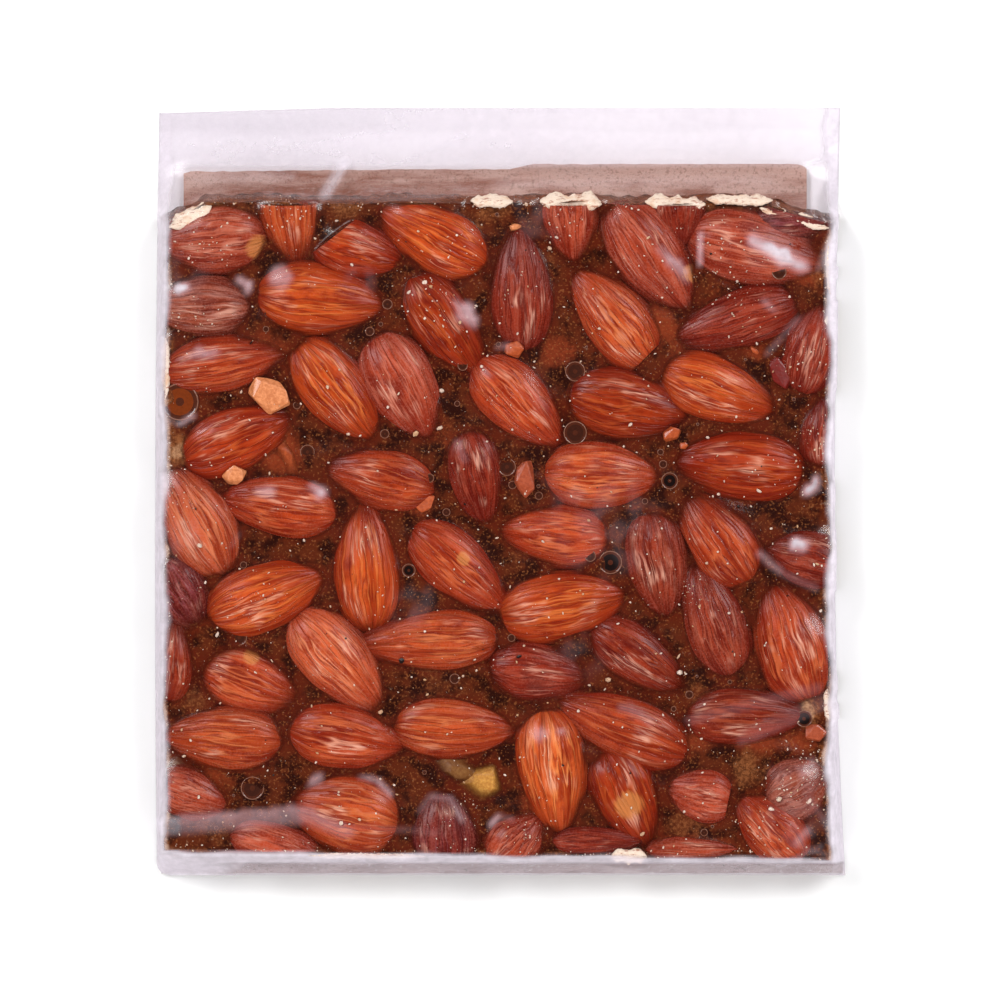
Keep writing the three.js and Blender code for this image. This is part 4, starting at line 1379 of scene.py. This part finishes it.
class CHIKKI_OT_caramel(bpy.types.Operator):
    """Makes the hard caramel that holds the almonds"""

    bl_idname = "chikki.caramel"
    bl_label = "Caramel"

    def execute(self, context):
        slab = context.scene.chikki_slab
        columns, rows = 250, 246
        u, v = np.meshgrid(np.linspace(0, 1, columns), np.linspace(0, 1, rows))
        row_y = SLAB_BOTTOM + v * (SLAB_TOP - SLAB_BOTTOM)
        x = slab_left(row_y) + u * (slab_right(row_y) - slab_left(row_y))
        y = slab_bottom(x) + v * (slab_top(x) - slab_bottom(x))
        z = caramel_top(x, y)
        points = np.stack([x, y, z], axis=-1).reshape(-1, 3)
        faces = grid_faces(columns, rows)
        nut = surface_heights((*NUTS, "cut_faces"), x, y)
        depth = softened(np.clip(z - nut, 0, 5), 4).ravel()
        # nearness to a nut, for the painted shade and red next to the nuts
        glow = softened((nut > 0).astype(float), 10).ravel()
        sunk = self.sunken(x + 0.5 * ripple(x, y, 4, 34), y + 0.5 * ripple(x, y, 4, 35))
        sunk = softened(sunk, 5).ravel()
        thin = self.thinness(x, y).ravel()

        rim = grid_rim(columns, rows)
        base = points[rim]
        centre = np.array([(SLAB_LEFT + SLAB_RIGHT) / 2, (SLAB_BOTTOM + SLAB_TOP) / 2])
        half = np.array([(SLAB_RIGHT - SLAB_LEFT) / 2, (SLAB_TOP - SLAB_BOTTOM) / 2])
        far_side = base[:, 1] > centre[1] + EDGE * half[1]
        flare = np.where(far_side, 1.9, 0.25)  # how far a side spreads on its way down
        levels = 7
        sides = []
        for k in range(1, levels + 1):
            share = k / levels
            ring = base.copy()
            spread = share * flare[:, None] * np.sign(base[:, :2] - centre)
            near = np.abs(base[:, :2] - centre) / half > EDGE
            rough = 0.22 * ripple(base[:, 0] * 2 + base[:, 1], base[:, 2] * 0 + 9 * share, 5, 40 + k)
            ring[:, :2] += np.where(near, spread + rough[:, None], 0)
            ring[:, 2] = base[:, 2] + share * (CARD_HIGH - base[:, 2])
            sides.append(ring)
        points = np.concatenate([points, *sides])
        upper = rim
        for lower in np.arange(columns * rows, len(points)).reshape(levels, -1):
            faces += wall_faces(upper, lower)
            upper = lower
        faces.append(upper[::-1].tolist())
        mesh = mesh_from("caramel", points, faces, caramel_surface(slab))
        extra = levels * len(rim)
        far_side = np.tile(far_side, levels)
        add_values(mesh, "depth", np.concatenate([depth, np.full(extra, 9.0)]))
        add_values(mesh, "thin", np.concatenate([thin, np.where(far_side, 0.55, 1.0)]))
        add_values(mesh, "near", np.concatenate([glow, np.full(extra, 0.2)]))
        add_values(mesh, "sunk", np.concatenate([sunk, np.where(far_side, 0.45, 0.0)]))
        crust = self.crust(x, y).ravel()
        add_values(mesh, "crust", np.concatenate([crust, np.where(far_side, 0.15, 0.35)]))
        place_piece(new_object("caramel", mesh))
        return {"FINISHED"}

    @staticmethod
    def sunken(x, y):
        """Where a nut too deep to model glows red through the caramel."""
        glow = np.zeros(np.shape(x))
        for *place, amount in SUNKEN:
            far = np.hypot(*oval(x, y, *place))
            glow = np.maximum(glow, amount * (1 - smooth_step(0.6, 1.2, far)))
        return glow

    @staticmethod
    def crust(x, y):
        """The crumbly rim of the slab's two long sides."""
        side = np.minimum(x - slab_left(y), slab_right(y) - x)
        return (1 - smooth_step(0.1, 1.5, side)) * (0.55 + 0.35 * ripple(x, y, 7, 33))

    @staticmethod
    def thinness(x, y):
        """Where the caramel is thin and light: at the slab's sides, and in stretches of its own."""
        side = np.minimum(x - slab_left(y), slab_right(y) - x)
        patchy = 0.5 + 0.6 * ripple(x, y, 9, 31)
        thin = (1 - smooth_step(0.2, 3.0, side)) * patchy + (1 - smooth_step(0, 0.9, side)) * 0.6
        thin = np.maximum(thin, (1 - smooth_step(0.3, 5.0, slab_top(x) - y)) * np.minimum(patchy, 0.75))
        thin = np.maximum(thin, (1 - smooth_step(0.1, 1.6, y - slab_bottom(x))) * patchy)
        for cx, cy, radius, amount in LIGHT_CARAMEL:
            far = np.hypot(x - cx, y - cy) / radius
            thin = np.maximum(thin, amount * (1 - smooth_step(0.2, 1.1, far + 0.2 * ripple(x, y, 4, 32))))
        return np.clip(thin, 0, 1)


class CHIKKI_OT_crumbs(bpy.types.Operator):
    """Scatters crumbs of bare nut and grains of jaggery over the slab"""

    bl_idname = "chikki.crumbs"
    bl_label = "Crumbs"

    def execute(self, context):
        crumbs = context.scene.chikki_crumbs
        draw = np.random.default_rng(crumbs.seed)
        fine = draw.uniform((SLAB_LEFT, SLAB_BOTTOM), (SLAB_RIGHT, SLAB_TOP), (crumbs.count, 2))
        fine_sizes = 0.15 + 0.75 * draw.power(0.28, crumbs.count)
        dusted = [draw.normal((x, y), radius / 2, (count, 2)) for x, y, radius, count in FROST]
        dusted.append(self.along_sides(draw, SIDE_SPECKS))
        dusted = np.concatenate(dusted)
        dust_sizes = 0.2 + 0.5 * draw.power(0.5, len(dusted))
        places = [row[:2] for row in CRUMBS] + fine.tolist() + dusted.tolist()
        sizes = np.concatenate([[row[2] for row in CRUMBS], fine_sizes, dust_sizes])
        cream = np.array((0.80, 0.68, 0.58, 1))
        tan = np.array((0.62, 0.36, 0.18, 1))
        share = draw.uniform(0, 1, (len(sizes), 1)) ** 3
        tones = cream * (1 - share) + tan * share
        piece = new_object("crumbs", crumb_points(places, sizes, tones))
        bake_nodes(piece, flakes_group(toned_surface("crumb", 0.7)), {"Seed": crumbs.seed})
        place_piece(piece)

        dots = draw.uniform((SLAB_LEFT, SLAB_BOTTOM), (SLAB_RIGHT, SLAB_TOP), (SMALL_SPECKS, 2))
        places = [row[:2] for row in BURNT] + dots.tolist()
        sizes = np.concatenate([[row[2] for row in BURNT], draw.uniform(0.25, 0.6, SMALL_SPECKS)])
        tones = np.full((len(sizes), 4), (0.012, 0.006, 0.005, 1))
        piece = new_object("burnt_specks", crumb_points(places, sizes, tones))
        bake_nodes(piece, flakes_group(toned_surface("burnt", 0.5)), {"Seed": crumbs.seed})
        place_piece(piece)
        return {"FINISHED"}

    @staticmethod
    def along_sides(draw, count):
        """Places just inside the slab's four sides."""
        side = draw.integers(0, 4, count)
        x = draw.uniform(SLAB_LEFT + 1, SLAB_RIGHT - 1, count)
        y = draw.uniform(SLAB_BOTTOM + 1, SLAB_TOP - 2, count)
        inwards = draw.uniform(0, 1, count) ** 2 * 1.4
        x = np.where(side == 0, slab_left(y) + inwards, np.where(side == 1, slab_right(y) - inwards, x))
        y = np.where(side == 2, slab_bottom(x) + inwards, np.where(side == 3, slab_top(x) - inwards, y))
        return np.stack([x, y], axis=-1)


class CHIKKI_OT_bubbles(bpy.types.Operator):
    """Makes the bubbles that set open at the caramel's surface"""

    bl_idname = "chikki.bubbles"
    bl_label = "Bubbles"

    def execute(self, context):
        draw = np.random.default_rng(77)
        inside = (SLAB_LEFT + 2, SLAB_BOTTOM + 2), (SLAB_RIGHT - 2, SLAB_TOP - 2)
        small = draw.uniform(*inside, (SMALL_BUBBLES, 2))
        free = surface_heights(NUTS, small[:, 0], small[:, 1]) < 0
        rows = list(BUBBLES)
        for x, y in small[free]:
            rows.append((x, y, 0.22 + 0.5 * draw.power(0.6), "clear"))
        x, y = np.array([row[:2] for row in rows]).T
        z = surface_heights(("caramel", *NUTS), x, y)
        bm = bmesh.new()
        for row, height in zip(rows, z):
            self.bubble(bm, *row[:2], height, *row[2:])
        colours = BUBBLE_COLOURS.items()
        materials = [plain_surface("bubble " + part, colour, 0.12, 0.5, 2.0) for part, colour in colours]
        mesh = mesh_of(bm, "bubbles", materials, smooth=True)
        place_piece(new_object("bubbles", mesh))
        return {"FINISHED"}

    @staticmethod
    def bubble(bm, x, y, z, radius, inside):
        """A round lip, outside and inside, round a sunk bowl, closed below."""
        bowl = list(BUBBLE_COLOURS).index(inside)
        tube = 0.06 + 0.04 * radius
        profile = [(radius + tube, -0.5), (radius + 0.6 * tube, 0.6 * tube), (radius, 1.1 * tube)]
        profile += [(radius - 0.6 * tube, 0.6 * tube), (radius - tube, 0.06)]
        inner = radius - tube
        profile += [(inner * 0.8, 0.05), (inner * 0.55, 0.08), (inner * 0.25, 0.10)]
        steps = 20
        rings = []
        for r, h in profile:
            ring = []
            for k in range(steps):
                a = 2 * math.pi * k / steps
                place = (x + r * math.cos(a), y + r * math.sin(a), z + h + 0.02)
                ring.append(bm.verts.new(Vector(place) * MM))
            rings.append(ring)
        # the outer lip gets the painted highlight, the inner lip and the centre the painted shade of the
        # wall, the rings between them the bowl's colour
        for i, (a, b) in enumerate(zip(rings, rings[1:])):
            for face in band(bm, a, b):
                face.material_index = 0 if i < 3 else 1 if i < 5 else bowl
        bm.faces.new(rings[-1]).material_index = 1
        bm.faces.new(rings[0][::-1])


class CHIKKI_OT_card(bpy.types.Operator):
    """Makes the backing card under the slab"""

    bl_idname = "chikki.card"
    bl_label = "Backing card"

    def execute(self, context):
        left, right = CARD_CENTRE - CARD_WIDE / 2, CARD_CENTRE + CARD_WIDE / 2
        draw = np.random.default_rng(14)
        corner = 1.2  # the card's rounded corner: its height, and half its width
        shoulder = CARD_END - corner
        outline = [(left, SLAB_BOTTOM), (right, SLAB_BOTTOM), (right, shoulder)]
        for a in np.linspace(0.2, math.pi / 2, 6):
            outline.append((right - 2 * corner * (1 - math.cos(a)), shoulder + corner * math.sin(a)))
        for x in np.arange(right - 3.5, left, -1.5):
            low = CARD_STEP * smooth_step(0, 6, CARD_STEP_AT - x) + 0.4 * smooth_step(10, 60, -x)
            outline.append((x, CARD_END - low + draw.uniform(-0.08, 0.08)))
        outline.append((left, CARD_END - 1.8))
        count = len(outline)
        points = [(x, y, CARD_HIGH) for x, y in outline] + [(x, y, CARD_LOW) for x, y in outline]
        faces = [list(range(count)), list(range(2 * count - 1, count - 1, -1))]
        faces += wall_faces(np.arange(count), np.arange(count, 2 * count))
        mesh = mesh_from("card", points, faces, card_surface(context.scene.chikki_card), False)
        place_piece(new_object("backing_card", mesh))
        return {"FINISHED"}


class CHIKKI_OT_film(bpy.types.Operator):
    """Drapes the clear film over the slab and lays out its margins and flap"""

    bl_idname = "chikki.film"
    bl_label = "Film"

    def execute(self, context):
        film = context.scene.chikki_film
        columns, rows = 272, 302
        u, v = np.meshgrid(np.linspace(0, 1, columns), np.linspace(0, 1, rows))
        y = LOW.y + v * (HIGH.y - LOW.y)
        x = pouch_left(y) + u * (pouch_right(y) - pouch_left(y))
        y = y - POUCH_SLOPE * v**8 * np.clip((0.25 - u) / 0.25, 0, 1)
        names = ("caramel", *NUTS, "cut_faces", "backing_card", "bottom_fold")
        contents = swollen(swollen(surface_heights(names, x, y)))
        inside = np.minimum(np.minimum(u, 1 - u) * columns, np.minimum(v, 1 - v) * rows)
        margin = 0.15 + 0.3 * smooth_step(0, 16, inside) * (1 + 0.5 * ripple(x, y, 12, 51))
        z = drape(np.maximum(contents, margin), 150) + 0.06
        points = np.stack([x, y, z], axis=-1).reshape(-1, 3)
        faces = grid_faces(columns, rows)
        rim = grid_rim(columns, rows)
        count = len(rim)
        under = columns * rows + np.arange(count)
        points = np.concatenate([points, points[rim] * (1, 1, 0) + (0, 0, 0.02)])
        faces += wall_faces(rim, under)
        faces.append(under[::-1].tolist())
        mesh = mesh_from("film", points, faces, film_surface(film))
        mesh.polygons[len(mesh.polygons) - 1].use_smooth = False
        haze = self.haze(x, y, film.haze).ravel()
        # gleam: the milky creases and the painted highlights
        gleam = softened(np.maximum(self.creased(x, y), self.painted_highlights(x, y)), 1).ravel()
        add_values(mesh, "haze", np.concatenate([haze, np.full(count, 0.04)]))
        add_values(mesh, "gleam", np.concatenate([gleam, np.zeros(count)]))
        add_values(mesh, "dim", np.concatenate([self.dim(x, y).ravel(), np.zeros(count)]))
        place_piece(new_object("pouch_film", mesh))
        return {"FINISHED"}

    @staticmethod
    def haze(x, y, low):
        """Milkiness of the film: a little all over, more in its margins, streaks and clouds; the clouds are
        partly painted lilac reflections.
        """
        haze = low * (1 + 0.5 * ripple(x, y, 20, 61))
        flap = 0.22 - 0.002 * x
        flap = flap * smooth_step(CARD_END - 1.2, CARD_END, y) * (1 + 0.2 * ripple(0.3 * x, y, 9, 62))
        haze = np.maximum(haze, flap)
        side = np.maximum(slab_left(y) - x, x - slab_right(y)) + 0.12 * ripple(x, y, 4, 67)
        haze = np.maximum(haze, (0.74 + 0.0022 * x) * smooth_step(-0.9, 0.8, side))
        low_strip = smooth_step(-0.4, 0.4, slab_bottom(x) - y)
        haze = np.maximum(haze, 0.6 * low_strip)
        haze = haze * (1 - 0.65 * smooth_step(0.3, -0.1, y - FOLD_HIGH) * smooth_step(-56, -48, x))
        torn = 0.5 + 0.7 * ripple(x, y, 5, 65)
        for cx, cy, radius, amount in CLOUDS:
            far = np.hypot(x - cx, y - cy) / radius + 0.25 * ripple(x, y, 8, 66)
            haze = np.maximum(haze, amount * (1 - smooth_step(0, 1.2, far)) * np.clip(torn, 0.1, 1))
        return haze

    @staticmethod
    def dim(x, y):
        """Painted shade that greys the flap, strongest in the doubled strip at the pouch's mouth."""
        mouth = smooth_step(67.2, 68.6, y + 0.3 * ripple(x, y, 30, 68)) * (0.08 - 0.0002 * x)
        flap = 0.02 - 0.0008 * x + 0.015 * ripple(0.3 * x, y, 9, 62)
        return np.clip(mouth + flap * smooth_step(CARD_END - 0.4, CARD_END + 0.4, y), 0, 1)

    @staticmethod
    def creased(x, y):
        """Milkiness along the film's creases, with painted highlights along some of them, fading to either
        side.
        """
        milky = np.zeros(np.shape(x))
        for ax, ay, bx, by, right, left, amount in STREAKS:
            on_left = (bx - ax) * (y - ay) - (by - ay) * (x - ax) > 0
            far = near_segment(x, y, ax, ay, bx, by) / np.where(on_left, left, right)
            fading = np.clip((1.15 - far) * 4, 0, 1) * (1 - 0.45 * np.clip(far, 0, 1))
            milky = np.maximum(milky, amount * fading)
        return milky

    @staticmethod
    def painted_highlights(x, y):
        """Painted highlights: patches where the film's shine is painted in as whiteness."""
        milky = np.zeros(np.shape(x))
        x, y = x + 0.6 * ripple(x, y, 4, 63), y + 0.6 * ripple(x, y, 4, 64)
        x, y = x + 0.25 * ripple(x, y, 1.6, 73), y + 0.25 * ripple(x, y, 1.6, 74)
        for *place, amount in HIGHLIGHT_PATCHES:
            along, across = oval(x, y, *place)
            shape = 1 - smooth_step(0.75, 1.1, np.hypot(along, across))
            milky = np.maximum(milky, amount * shape * (0.7 + 0.4 * np.clip(across, -1, 1)))
        return milky


class CHIKKI_PT_panel(bpy.types.Panel):
    """Lists the pieces and their settings"""

    bl_label = "Chikki"
    bl_idname = "CHIKKI_PT_panel"
    bl_space_type = "VIEW_3D"
    bl_region_type = "UI"
    bl_category = "Chikki"

    def draw(self, context):
        for operator in OPERATORS:
            self.layout.operator(operator.bl_idname)
        for name, group in SETTINGS.items():
            box = self.layout.box()
            for prop in group.__annotations__:
                box.prop(getattr(context.scene, name), prop)


SETTINGS = {
    "chikki_slab": ChikkiSlabSettings,
    "chikki_almonds": ChikkiAlmondSettings,
    "chikki_film": ChikkiFilmSettings,
    "chikki_card": ChikkiCardSettings,
    "chikki_crumbs": ChikkiCrumbSettings,
    "chikki_stage": ChikkiStageSettings,
}

OPERATORS = (
    CHIKKI_OT_stage,
    CHIKKI_OT_card,
    CHIKKI_OT_almonds,
    CHIKKI_OT_chunks,
    CHIKKI_OT_cut_faces,
    CHIKKI_OT_caramel,
    CHIKKI_OT_bottom_fold,
    CHIKKI_OT_bubbles,
    CHIKKI_OT_crumbs,
    CHIKKI_OT_film,
)


def register():
    for item in (*SETTINGS.values(), *OPERATORS, CHIKKI_PT_panel):
        bpy.utils.register_class(item)
    for name, group in SETTINGS.items():
        setattr(bpy.types.Scene, name, PointerProperty(type=group))


def unregister():
    for name in SETTINGS:
        delattr(bpy.types.Scene, name)
    for item in (CHIKKI_PT_panel, *reversed(OPERATORS), *SETTINGS.values()):
        bpy.utils.unregister_class(item)


def main():
    register()
    for operator in OPERATORS:
        area, name = operator.bl_idname.split(".")
        getattr(getattr(bpy.ops, area), name)()


if __name__ == "__main__":
    main()
